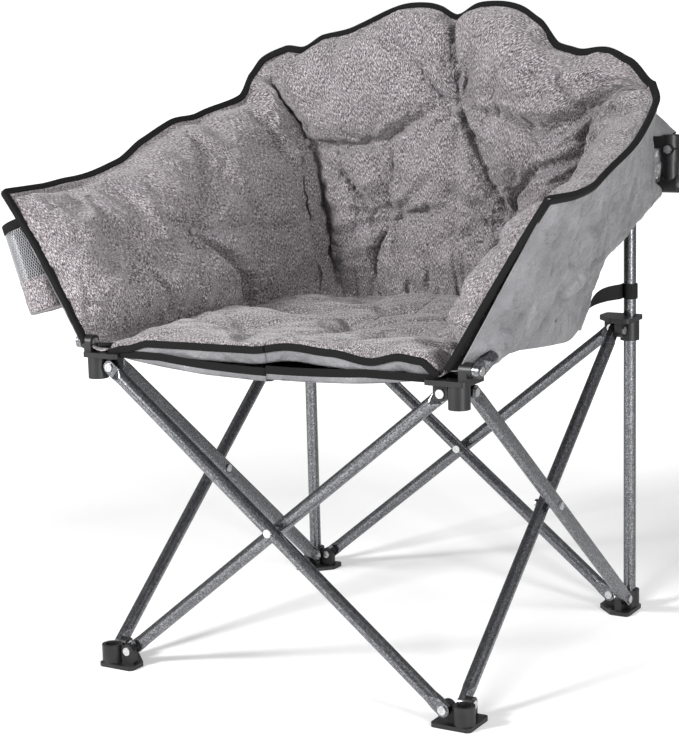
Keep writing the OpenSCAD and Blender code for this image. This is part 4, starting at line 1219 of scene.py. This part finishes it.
def over_tubes(grid, side, rear_rows):
    """Lifts a lining off the two arm tubes it is stretched over."""
    for x, start, end in ((FRONT_ARM[0], 0.0, 0.53), (REAR_ARM[0], 0.47, 1.0)):
        a, b = (FRONT_ARM + (REAR_ARM - FRONT_ARM) * t for t in (start, end))
        a, b = np.array([side * x, *a[1:]]), np.array([side * x, *b[1:]])
        t = np.clip((grid - a) @ (b - a) / ((b - a) @ (b - a)), 0, 1)
        axis = a + (b - a) * t[..., None]
        gap = np.linalg.norm(grid - axis, axis=-1)
        near = (gap < ARM_CLEAR - 0.5) & ~rear_rows[:, None]
        grid = np.where(near[..., None], axis + unit(grid - axis) * (ARM_CLEAR - 0.5), grid)
    return grid


def side_lining(name, side, from_s):
    stations = np.linspace(from_s, 1, 130)
    grid = np.array([hull_section(s, side, 80) for s in stations])
    for _ in range(2):
        grid[1:-1] = (grid[:-2] + 2 * grid[1:-1] + grid[2:]) / 4
    out = -inward(stations * side, 0.5)[:, None]
    row = np.linspace(0, 1, 80)
    loose = np.sin(np.pi * row) ** 0.6 * np.clip((1 - stations) / 0.04, 0, 1)[:, None]
    drawn = np.stack([(grid[..., 1] + grid[..., 2] * 0.6) / 34,
                      (grid[..., 2] - grid[..., 1] * 0.5) / 110, 0 * grid[..., 0]], -1)
    # Broad and small dents, and then long folds and shorter ones drawn across the side
    push = 6.0 * soft_noise(grid * (0.6, 0.6, 0.4), 38, 11) + 2.6 * soft_noise(grid, 16, 12)
    push += 5.5 * lines(drawn, 13, 0.12) + 3.5 * lines(drawn * 1.7, 14, 0.12)
    grid = over_tubes(grid + out * (push * loose)[..., None], side, stations < 0.5)
    return sheet_piece(name, grid, lining, 1.2, flip=side < 0)


right_lining = side_lining("right_side_lining", 1, 0.42)
left_lining = side_lining("left_side_lining", -1, 0.42)
s, v = np.meshgrid(np.linspace(-0.43, 0.43, 110), np.linspace(1, 0, 50), indexing="ij")
grid = outside(s, v) - inward(s, v) * 2.4
grid -= inward(s, v) * (np.sin(np.pi * v) ** 0.6 * (
    3.0 * soft_noise(grid * (1, 1, 0.5), 60, 21) + 1.2 * soft_noise(grid, 22, 22)))[..., None]
back_lining = sheet_piece("back_lining", grid, lining, 1.2)
print("linings:", right_lining.name, left_lining.name, back_lining.name)

# %% [markdown]
# ### Sleeves
# The rear end of each arm and each half of the arch slide into sewn sleeves. A sleeve is a tube of
# lining that hugs the steel and wrinkles round it.

# %% Sleeves round the arms and the arch


def sleeve(name, path, across, up, radius, finish, tail=None, seed=0):
    """A wrinkled cloth tube round a path. tail, a vector and an angle, draws it out one way."""
    turn = np.linspace(0, 2 * np.pi, 33)
    a, b = np.cos(turn) * radius, np.sin(turn) * radius
    grid = path[:, None] + across[:, None] * a[..., None] + up[:, None] * b[..., None]
    if tail is not None:
        share = np.clip(np.cos(turn - tail[1]), 0, 1) ** 3
        grid = grid + tail[0] * share[:, None]
    way = unit(grid - path[:, None])
    grid[:, :-1] += (way * 1.3 * soft_noise(grid, 16, seed)[..., None])[:, :-1]
    grid[:, -1] = grid[:, 0]
    return sheet_piece(name, grid, finish, 1.0)


SLEEVE_START, SLEEVE_END = 0.76, 0.955
ARCH_SLEEVE_R = 12.6
sleeves = {}
for side, word in SIDES:
    a, b = (p * (side, 1, 1) for p in (FRONT_ARM + (ARM_STEP, 0, 0), REAR_ARM))
    t = np.linspace(SLEEVE_START, SLEEVE_END, 40)[:, None]
    path = a + (b - a) * t
    way = unit(b - a)
    across = np.tile(unit(np.cross(way, (0, 0, 1))), (40, 1))
    sleeves[f"{word}_rear_arm"] = sleeve(f"{word}_arm_sleeve", path, across,
                                         np.cross(across, way),
                                         11 + 9 * (t - SLEEVE_START), lining, seed=31 + side)
ARCH_FOOT = np.array([352.5, 319.5, 719.0])
ARCH_TOP = 863.0
arch_h = ARCH_TOP - ARCH_FOOT[2]
arch_r = (ARCH_FOOT[0] ** 2 + arch_h ** 2) / (2 * arch_h)
arch_turn = math.asin(ARCH_FOOT[0] / arch_r)
for side, word in SIDES:
    angle = np.linspace(arch_turn * 0.95, 14 / arch_r, 60)
    path = np.stack([side * arch_r * np.sin(angle), np.full(60, ARCH_FOOT[1]),
                     ARCH_TOP - arch_r + arch_r * np.cos(angle)], -1)
    up = np.stack([side * np.sin(angle), 0 * angle, np.cos(angle)], -1)
    across = np.tile((0.0, 1.0, 0.0), (60, 1))
    sleeves[f"{word}_arch"] = sleeve(f"{word}_arch_sleeve", path, across, up, ARCH_SLEEVE_R,
                                     lining, tail=(np.array([0, -13.0, 0]), math.pi),
                                     seed=41 + side)
print("sleeves:", ", ".join(sorted(sleeves)))

# %% [markdown]
# At each rear corner the lining is drawn out over the foot of the arch and the arm's end, down to
# the knuckle. This small web of cloth is a grid between a line on the cover and one on the steel.

# %% Corner webs
WEB_TOP_Z, WEB_DROP = 795.0, 127.0
webs = {}
for side, word in SIDES:
    fall = np.linspace(0, 1, 30)
    on_cover = outside(0.47 * side, 0.95 - 0.45 * fall) - inward(0.47 * side, 0.7) * 3.5
    z = WEB_TOP_Z - WEB_DROP * fall
    over_middle = np.maximum(z, ARCH_FOOT[2]) - ARCH_TOP + arch_r
    x = np.sqrt(np.maximum(0, arch_r ** 2 - over_middle ** 2))
    on_steel = np.stack([side * (x + 3 + 11 * (1 - fall) ** 0.7), 0 * z + ARCH_FOOT[1] - 13, z],
                        -1)
    share = np.linspace(0, 1, 20)[:, None]
    web = np.array([a + (b - a) * share for a, b in zip(on_cover, on_steel)])
    belly = np.sin(np.pi * share[:, 0])
    web += np.array([0.7 * side, 0.7, 0]) * (7 * belly + belly * (
        4 * soft_noise(web, 26, 55) + 3 * lines(web / 24, 56, 0.16)))[..., None]
    webs[side] = sheet_piece(f"{word}_corner_web", web, lining, 1.2, flip=side > 0)
print("webs:", len(webs))

# %% [markdown]
# ## What repeats: stitches and buttons
# A row of stitches is one small shape set down again and again along a line, which is what
# Geometry Nodes are for. The tree takes a line of points that each carry a direction, puts an
# ellipsoid on every one, makes the copies real and gives them their finish.

# %% A tree that sets small shapes on points


def setting_tree():
    tree = bpy.data.node_groups.new("set_small_shapes", "GeometryNodeTree")
    face = tree.interface
    face.new_socket("Geometry", in_out="INPUT", socket_type="NodeSocketGeometry")
    face.new_socket("Width", in_out="INPUT", socket_type="NodeSocketFloat")
    face.new_socket("Length", in_out="INPUT", socket_type="NodeSocketFloat")
    face.new_socket("Roundness", in_out="INPUT", socket_type="NodeSocketInt")
    face.new_socket("Finish", in_out="INPUT", socket_type="NodeSocketMaterial")
    face.new_socket("Geometry", in_out="OUTPUT", socket_type="NodeSocketGeometry")
    given = add(tree, "NodeGroupInput")
    facing = add(tree, "GeometryNodeInputNamedAttribute", {"Name": "facing"},
                 data_type="FLOAT_VECTOR")
    ball = add(tree, "GeometryNodeMeshIcoSphere", {
        "Radius": 0.5, "Subdivisions": given.outputs["Roundness"]})
    turned = add(tree, "FunctionNodeAlignRotationToVector", {
        "Vector": facing.outputs["Attribute"]}, axis="Z")
    size = add(tree, "ShaderNodeCombineXYZ", {
        "X": given.outputs["Width"], "Y": given.outputs["Width"], "Z": given.outputs["Length"]})
    spread = add(tree, "GeometryNodeInstanceOnPoints", {
        "Points": given.outputs["Geometry"], "Instance": ball.outputs["Mesh"],
        "Rotation": turned.outputs["Rotation"], "Scale": size.outputs["Vector"]})
    real = add(tree, "GeometryNodeRealizeInstances", {"Geometry": spread.outputs["Instances"]})
    painted = add(tree, "GeometryNodeSetMaterial", {
        "Geometry": real.outputs["Geometry"], "Material": given.outputs["Finish"]})
    add(tree, "NodeGroupOutput", {"Geometry": painted.outputs["Geometry"]})
    return tree


setting = setting_tree()
print("the tree has", len(setting.nodes), "nodes")

# %% [markdown]
# A tree runs as a modifier. Here it runs once on a seed mesh and its result is kept as a plain
# mesh.

# %% Run a tree and keep its mesh


def run_tree(name, mesh, tree, **values):
    """Runs a tree on a mesh with named inputs, and gives a plain mesh object."""
    seed = bpy.data.objects.new(name + "_seed", mesh)
    bpy.context.scene.collection.objects.link(seed)
    modifier = seed.modifiers.new("tree", "NODES")
    modifier.node_group = tree
    for item in tree.interface.items_tree:
        if item.in_out == "INPUT" and item.name in values:
            modifier[item.identifier] = values[item.name]
    made = baked(seed, name)
    bpy.data.objects.remove(seed)
    if "weave" not in made.data.uv_layers:
        made.data.uv_layers.new(name="weave")
    made.data.shade_smooth()
    return made


def set_down(name, points, facing, width, length, roundness, finish):
    mesh = bpy.data.meshes.new(name + "_points")
    mesh.from_pydata([tuple(p) for p in placed(points)], [], [])
    layer = mesh.attributes.new("facing", "FLOAT_VECTOR", "POINT")
    layer.data.foreach_set("vector", np.asarray(facing, float).ravel())
    return run_tree(name, mesh, setting, Width=width * MM, Length=length * MM,
                    Roundness=roundness, Finish=finish)


def spaced(path, step):
    """Places at even steps along a path, and the path's direction there."""
    run = np.concatenate([[0], np.cumsum(np.linalg.norm(np.diff(path, axis=0), axis=1))])
    at = np.arange(step / 2, run[-1], step)
    points = np.column_stack([np.interp(at, run, path[:, k]) for k in range(3)])
    return points, unit(np.gradient(points, axis=0))


print("tools for small shapes ready")

# %% [markdown]
# ### Stitches
# A sewing machine fixes the tape with one seam that shows on both faces. Each stitch is a short
# thin ellipsoid on the tape's skin, near its inner edge.

# %% Stitches along the bindings
STITCH = 4.5
STITCH_W, STITCH_L = 0.7, 2.8


def stitch_row(name, path, through, down):
    rows = [spaced(path + through * (face * TAPE_T * 0.96) + down * (TAPE_D * 0.45), STITCH)
            for face in (1, -1)]
    return set_down(name, np.concatenate([r[0] for r in rows]),
                    np.concatenate([r[1] for r in rows]), STITCH_W, STITCH_L, 1, thread)


back_stitches = stitch_row("back_binding_stitches", back_path, back_through, back_down)
right_stitches = stitch_row("right_binding_stitches", right_path, right_through, right_down)
left_stitches = stitch_row("left_binding_stitches", left_path, left_through, left_down)
print("stitches:", len(back_stitches.data.polygons) // 20, "on the back's binding")

# %% [markdown]
# ### Buttons
# The tufts of the back and the large tuft of each wing are drawn in by covered buttons, and two
# more sit on the seams of the back. Their cloth is painted lighter than the cover's, as a painted
# highlight on their domes. A button is a flattened ball. It faces the way that the cloth round it
# faces on average.

# %% Covered buttons in the tufts
BUTTON_T = 5.5
BUTTON_LIFT = 3.2
SEAM_LIFT = 14.0
TUFT_ROUND = 22.0


def covered_buttons(name, pad, tufts):
    """A flat domed button in each tuft, square to the cloth round it."""
    spots, ways = [], []
    co = np.array([p.co for p in pad.data.vertices])
    normals = np.array([p.normal for p in pad.data.vertices])
    for i in tufts:
        near = np.linalg.norm(co - co[i], axis=1) < TUFT_ROUND * MM
        way = unit(normals[near].mean(axis=0))
        spots.append((co[i] - centre) / MM + way * BUTTON_LIFT)
        ways.append(way)
    return set_down(name, spots, ways, BUTTON_D, BUTTON_T, 3, lit_button_finish)


back_buttons = covered_buttons("back_buttons", back_pad, back_tufts)
right_buttons = covered_buttons("right_wing_buttons", right_wing, right_tufts[:1])
left_buttons = covered_buttons("left_wing_buttons", left_wing, left_tufts[:1])


def seam_button(name, seam, v):
    s = float(flowing(seam, np.array(v)))
    way = inward(np.array(s), np.array(v))
    return set_down(name, [outside(s, v) + way * SEAM_LIFT], [way], BUTTON_D, BUTTON_T, 3,
                    lit_button_finish)


left_seam_button = seam_button("left_seam_button", LEFT_SEAM, SEAM_BUTTONS[0][1])
right_seam_button = seam_button("right_seam_button", RIGHT_SEAM, SEAM_BUTTONS[1][1])
print("buttons:", len(back_tufts) + 4)

# %% [markdown]
# ## Cup pocket
# The pocket is a net tube with a tape round its mouth and a cloth cup at its foot. A black wall of
# webbing cloth on the wing's side is painted shade: it stands for the shadow seen through the net.
# It leans outwards with the wing, and its section is a flattened circle.

# %% Cup pocket
POCKET_R = 38.5
POCKET_FLAT = 0.78
POCKET_H = 135.0
NET_FOOT = 84.0
pocket_low, pocket_high = (np.array(c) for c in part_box("cup_pocket"))
LEAN_ANGLE = math.radians(19)
# From this share of its depth on, the cup rounds off to its bottom
CUP_TURN = 0.62
pocket_axis = np.array([-math.sin(LEAN_ANGLE), 0, math.cos(LEAN_ANGLE)])
pocket_side = np.array([math.cos(LEAN_ANGLE), 0, math.sin(LEAN_ANGLE)])
pocket_centre = ((pocket_low + pocket_high) / 2 - centre) / MM
pocket_mouth = pocket_centre + pocket_axis * (POCKET_H / 2)


def pocket_point(turn, depth, radius):
    """A point of the pocket: an angle, a depth under its mouth and a radius."""
    turn, depth, radius = np.broadcast_arrays(turn, depth, radius)
    return pocket_mouth - pocket_axis * depth[..., None] \
        + pocket_side * (np.cos(turn) * radius * POCKET_FLAT + radius * 0.2)[..., None] \
        + np.array([0.0, 1.0, 0.0]) * (np.sin(turn) * radius)[..., None]


turn = np.linspace(0, 2 * np.pi, 64, endpoint=False)
mouth = pocket_point(turn, 5.0 + 1.5 * np.sin(2 * turn), POCKET_R)
mouth_out = unit(mouth - pocket_point(turn, 5.0 + 1.5 * np.sin(2 * turn), 0.0))
pocket_tape = swept("pocket_rim_tape", mouth, mouth_out, np.tile(-pocket_axis, (64, 1)), 1.5, 7.0,
                    tape_finish, closed=True)
turn, depth = np.meshgrid(np.linspace(0, 2 * np.pi, 65), np.linspace(0, 1, 26), indexing="ij")
radius = POCKET_R * np.where(depth < CUP_TURN, 1, np.sqrt(np.maximum(
    0.0004, 1 - ((depth - CUP_TURN) / (1 - CUP_TURN)) ** 4)))
cup_h = POCKET_H - 2 - NET_FOOT
foot = pocket_point(turn, NET_FOOT + cup_h * np.minimum(1, depth / 0.8), radius)
foot[:-1] += (unit(foot - pocket_point(turn, 0 * depth + NET_FOOT, 0.0))
              * (1.1 * soft_noise(foot, 20, 51))[..., None])[:-1]
foot[-1] = foot[0]
pocket_cup = sheet_piece("pocket_cloth_cup", foot, cloth, 1.2)
# The black wall on the wing's side is painted shade, seen dark through the net.
turn, depth = np.meshgrid(np.linspace(-1.45, 1.45, 25), np.linspace(6, POCKET_H - 12, 20),
                          indexing="ij")
wall = pocket_point(turn, depth, 0 * depth + POCKET_R - 2.0)
pocket_shade_sheet = sheet_piece("pocket_shade_wall", wall, webbing, 1.2)
print("pocket mouth at", pocket_mouth.round(1), "mm")

# %% [markdown]
# The net's threads are the edges of a diamond grid on the same flattened tube. A second tree turns
# the edges into curves and the curves into thin three-sided tubes, which is enough for a thread.

# %% Net of the pocket
KNOTS, NET_ROWS = 60, 22
THREAD_R = 0.6


def net_tree():
    tree = bpy.data.node_groups.new("threads_from_edges", "GeometryNodeTree")
    face = tree.interface
    face.new_socket("Geometry", in_out="INPUT", socket_type="NodeSocketGeometry")
    face.new_socket("Thread", in_out="INPUT", socket_type="NodeSocketFloat")
    face.new_socket("Finish", in_out="INPUT", socket_type="NodeSocketMaterial")
    face.new_socket("Geometry", in_out="OUTPUT", socket_type="NodeSocketGeometry")
    given = add(tree, "NodeGroupInput")
    lines = add(tree, "GeometryNodeMeshToCurve", {"Mesh": given.outputs["Geometry"]})
    ring = add(tree, "GeometryNodeCurvePrimitiveCircle", {
        "Resolution": 3, "Radius": given.outputs["Thread"]})
    tubes = add(tree, "GeometryNodeCurveToMesh", {
        "Curve": lines.outputs["Curve"], "Profile Curve": ring.outputs["Curve"]})
    real = add(tree, "GeometryNodeRealizeInstances", {"Geometry": tubes.outputs["Mesh"]})
    painted = add(tree, "GeometryNodeSetMaterial", {
        "Geometry": real.outputs["Geometry"], "Material": given.outputs["Finish"]})
    add(tree, "NodeGroupOutput", {"Geometry": painted.outputs["Geometry"]})
    return tree


knots = np.array([[pocket_point((i + 0.5 * (j % 2)) * 2 * np.pi / KNOTS,
                                10 + (NET_FOOT - 8) * j / (NET_ROWS - 1), POCKET_R)
                   for i in range(KNOTS)] for j in range(NET_ROWS)])
links = []
for j in range(NET_ROWS - 1):
    for i in range(KNOTS):
        aside = i + 1 if j % 2 else i - 1
        links += [(j * KNOTS + i, (j + 1) * KNOTS + i),
                  (j * KNOTS + i, (j + 1) * KNOTS + aside % KNOTS)]
mesh = bpy.data.meshes.new("net_lines")
mesh.from_pydata([tuple(p) for p in placed(knots.reshape(-1, 3))], links, [])
pocket_net = run_tree("pocket_net", mesh, net_tree(), Thread=THREAD_R * MM,
                      Finish=net_finish)
print("net:", len(links), "threads,", len(pocket_net.data.polygons), "faces")

# %% [markdown]
# ## Webbing
# Flat straps are modelled directly: a ribbon that follows a path, with its width held upright. Each
# rear post has a loop whose tail twists down to the cover, and each front hub has a tab.

# %% Ribbons of webbing


def ribbon(name, path, wide, half_w, half_t):
    """A band of webbing along a path. wide is the direction of its width at each point."""
    ahead = unit(np.gradient(path, axis=0))
    wide = unit(wide - ahead * (wide * ahead).sum(-1, keepdims=True))
    return swept(name, path, np.cross(ahead, wide), wide, half_t, half_w, webbing, corner=0.3)


STRAP_Z = 503.0
STRAP_HALF_W, STRAP_HALF_T = 11.5, 0.9
# The loop's radius is the post's and a bit more. It is open by this angle to each side of its tail.
LOOP_R = 9.5 + 1.6
LOOP_GAP = 0.5
TAB_HALF_W, TAB_HALF_T, TAB_Z = 12.5, 1.1, 467.4
ROLL_Z = 473.0
# Webbing as (body it rides on, piece, the CAD node it replaces or None)
bands = []
for side, word in SIDES:
    post = np.array([half_gap * side, half_gap])
    hold = outside(0.44 * side, 0.13)
    aim = math.atan2(hold[1] - post[1], hold[0] - post[0])
    turn = np.linspace(aim + LOOP_GAP, aim + 2 * np.pi - LOOP_GAP, 34)
    ring = np.stack([post[0] + LOOP_R * np.cos(turn), post[1] + LOOP_R * np.sin(turn),
                     np.full(34, STRAP_Z)], -1)
    share = np.linspace(0, 1, 26)[1:]
    towards = np.array([math.cos(aim), math.sin(aim), 0])
    start = np.array([*post, STRAP_Z]) + towards * 15
    end = hold - towards * 2
    tail = start + (end - start) * share[:, None]
    tail[:, 2] = STRAP_Z - 4 * share - 20 * share ** 4
    path = np.concatenate([ring, tail])
    tilt = np.concatenate([np.zeros(34), 0.9 * share ** 2])
    wide = np.stack([np.sin(tilt) * -math.sin(aim), np.sin(tilt) * math.cos(aim),
                     np.cos(tilt)], -1)
    strap = ribbon(f"{word}_post_strap_webbing", path, wide, STRAP_HALF_W, STRAP_HALF_T)
    corner = np.array([(half_gap - 22) * side, -half_gap + 22, 0.0])
    out = unit(np.array([side, -1.0, 0.0]))
    share = np.linspace(-1, 1, 24)
    flat = corner + out * (share * 20)[:, None]
    flat[:, 2] = TAB_Z + 1.2 * np.cos(share * math.pi)
    across = np.tile(np.cross(out, (0, 0, 1)), (24, 1))
    tab = ribbon(f"{word}_corner_tab_webbing", flat, across, TAB_HALF_W, TAB_HALF_T)
    rod = np.array([(half_gap - 24) * side, -half_gap + 24, 0.0]) + out * (share * 33)[:, None]
    rod[:, 2] = ROLL_Z + 2.0 * share
    roll = swept(f"{word}_corner_roll", rod, across, np.tile((0.0, 0.0, 1.0), (24, 1)), 4.2, 3.2,
                 webbing, corner=0.8)
    bands += [(f"rear_{word}_corner", strap, f"{word}_post_strap"),
              (f"front_{word}_hub", tab, f"{word}_corner_tab"), (f"front_{word}_hub", roll, None)]
print("webbing pieces:", len(bands))

# %% [markdown]
# ## What moves with what
# A hard part rides on one body. The cover can't follow a folding frame, but here its pieces only
# ride on bodies too: the wings and their parts on the rear corners, the back on the left rear corner
# and each half of the seat on its own seat body.

# %% Ride on the bodies


def gather(pieces, body):
    """Pieces that ride on a body, each with a mesh of its own.

    way, given with each group below as an axis, a place and a share, is not used.
    """
    for piece in pieces:
        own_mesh(piece)
        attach(piece, body)


left_body, right_body = "rear_left_corner", "rear_right_corner"
wing_way = ((0, 1, 0), (0, 215.0, 0), 0.15)
back_way = ((1, 0, 0), (-305.0, 0, 0), 0.25)
for pieces, body, way, slot in (
        ([left_wing, left_buttons], left_body, wing_way, "cloth"),
        ([right_wing, right_buttons], right_body, wing_way, "cloth"),
        ([gussets[-1]], left_body, wing_way, "cloth"),
        ([gussets[1]], right_body, wing_way, "cloth"),
        ([left_lining], left_body, wing_way, "lining"),
        ([right_lining], right_body, wing_way, "lining"),
        ([left_tape, left_stitches, pocket_tape], left_body, wing_way, "webbing"),
        ([right_tape, right_stitches], right_body, wing_way, "webbing"),
        ([pocket_shade_sheet], left_body, wing_way, "webbing"),
        ([pocket_cup, pocket_net], left_body, wing_way, "lining"),
        ([back_pad, back_buttons, left_seam_button, right_seam_button], left_body, back_way,
         "cloth"),
        ([back_lining], left_body, back_way, "lining"),
        ([back_tape, back_stitches], left_body, back_way, "webbing")):
    gather(pieces, body)
for side, word, padding in ((1, "right", seat_right), (-1, "left", seat_left)):
    binding, lip, sling, hem = halves[side]
    gather([padding], f"{word}_seat")
    gather([binding, hem], f"{word}_seat")
    gather([lip, sling], f"{word}_seat")
for body, piece in [*sleeves.items(), (left_body, webs[-1]), (right_body, webs[1])]:
    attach(piece, body)
for body, piece, _ in bands:
    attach(piece, body)
print("unflattened pieces:", len(sleeves) + len(webs) + len(bands))

# %% [markdown]
# Where a sewn piece takes the place of a solid from the drawing, the solid's node is named, so that
# it is left out of the visual model.

# %% Take the place of the CAD's soft solids
for piece, node in ((left_wing, "left_wing"), (right_wing, "right_wing"), (back_pad, "back_pad"),
                    (seat_right, "right_seat_pad"), (seat_left, "left_seat_pad"),
                    (halves[1][2], "right_seat_sling"), (halves[-1][2], "left_seat_sling"),
                    (pocket_cup, "cup_pocket")):
    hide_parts(node)
for _, piece, node in bands:
    if node:
        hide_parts(node)
print("solids replaced:", 8 + sum(node is not None for _, _, node in bands))

# %% [markdown]
# ## The sewn pieces are all made


print("sewn pieces made")

# %% [markdown]
# ## Studio
# A product photograph like this is taken on a white sweep, a sheet of paper that curves up behind
# the chair. A pale floor does the same. It glows more the further out it lies, but only where the
# camera looks at it, so the chair isn't lit from below.

# %% Floor
floor_finish, tree, shader = new_finish("pale_studio_floor")
where = add(tree, "ShaderNodeTexCoord").outputs["Object"]
mottle = add(tree, "ShaderNodeTexNoise", {"Vector": where, "Scale": 3.0, "Detail": 2.0})
tone = stops(add(tree, "ShaderNodeValToRGB", {"Fac": mottle.outputs["Fac"]}),
             (0.3, "#f4f4f4"), (0.7, "#f8f8f8"))
shade(tree, shader, Base_Color=tone, Roughness=0.9)
away_from_chair = add(tree, "ShaderNodeVectorMath", {0: where}, operation="LENGTH")
glow = add(tree, "ShaderNodeMapRange", {"Value": away_from_chair.outputs["Value"],
                                        "From Min": 0.9, "From Max": 2.6, "To Min": 0.12,
                                        "To Max": 1.0})
camera_only = add(tree, "ShaderNodeMath", {0: glow.outputs["Result"], 1: add(
    tree, "ShaderNodeLightPath").outputs["Is Camera Ray"]}, operation="MULTIPLY")
tree.links.new(tone, shader.inputs["Emission Color"])
tree.links.new(camera_only.outputs["Value"], shader.inputs["Emission Strength"])
FLOOR = 40.0
mesh = bpy.data.meshes.new("floor")
mesh.from_pydata([(-FLOOR, -FLOOR, 0), (FLOOR, -FLOOR, 0), (FLOOR, FLOOR, 0), (-FLOOR, FLOOR, 0)],
                 [], [(0, 1, 2, 3)])
mesh.materials.append(floor_finish)
floor = bpy.data.objects.new("floor", mesh)
bpy.context.scene.collection.objects.link(floor)
print("floor:", 2 * FLOOR, "m across")

# %% [markdown]
# Three soft area lights stand for the studio's lamps: a strong one from the front left, a tall one
# from the right and a weak one from above. The world is white for the camera, and for everything
# else it is dim and only fills the shadows.

# %% World and lamps
world = bpy.data.worlds.new("white_studio")
bpy.context.scene.world = world
world.use_nodes = True
tree = world.node_tree
seen = add(tree, "ShaderNodeBackground", {"Color": linear("#ffffff"), "Strength": 1.0})
fill = add(tree, "ShaderNodeBackground", {"Color": linear("#ffffff"), "Strength": 0.3})
eye = add(tree, "ShaderNodeLightPath")
both = add(tree, "ShaderNodeMixShader", {0: eye.outputs["Is Camera Ray"],
                                         1: fill.outputs[0], 2: seen.outputs[0]})
tree.links.new(both.outputs[0], tree.nodes["World Output"].inputs["Surface"])
bpy.context.scene.view_settings.view_transform = "Standard"


def lamp(name, where, aim, size, power):
    light = bpy.data.lights.new(name, "AREA")
    light.shape = "RECTANGLE"
    light.size, light.size_y = size
    light.energy = power
    made = bpy.data.objects.new(name, light)
    made.location = where
    made.rotation_euler = (Vector(aim) - Vector(where)).to_track_quat("-Z", "Y").to_euler()
    bpy.context.scene.collection.objects.link(made)


lamp("key", (-1.5, -2.65, 1.75), (0, 0, 0.6), (0.7, 0.6), 136)
lamp("side", (2.9, -1.7, 1.35), (0, 0, 0.5), (0.5, 2.2), 112)
lamp("top", (0.3, 0.9, 3.2), (0, 0, 0.6), (2.2, 1.4), 14)
print("three lamps set")

# %% [markdown]
# ## Camera
# The camera's place was worked out from the photograph: it stands about 2.8 m away, 31 degrees
# round to the right and 10 degrees up, and it is tipped a little to one side.

# %% Camera
AZIMUTH, ELEVATION, ROLL = (math.radians(a) for a in (30.739, 10.358, -1.548))
DISTANCE = 2827.8
AIM = np.array([-59.42, 0.0, 404.70])
FOCAL_PX, LONG_SIDE_PX, SENSOR = 1891.33, 741, 36.0
away = np.array([math.sin(AZIMUTH) * math.cos(ELEVATION),
                 -math.cos(AZIMUTH) * math.cos(ELEVATION), math.sin(ELEVATION)])
lens = bpy.data.cameras.new("camera")
lens.sensor_width = SENSOR
lens.lens = FOCAL_PX / LONG_SIDE_PX * SENSOR
lens.dof.use_dof = False
camera = bpy.data.objects.new("camera", lens)
camera.location = placed(AIM + away * DISTANCE)
level = (-Vector(away)).to_track_quat("-Z", "Y")
camera.rotation_mode = "QUATERNION"
camera.rotation_quaternion = level @ Quaternion((0, 0, 1), ROLL)
bpy.context.scene.collection.objects.link(camera)
bpy.context.scene.camera = camera
print("camera at", [round(c, 3) for c in camera.location])
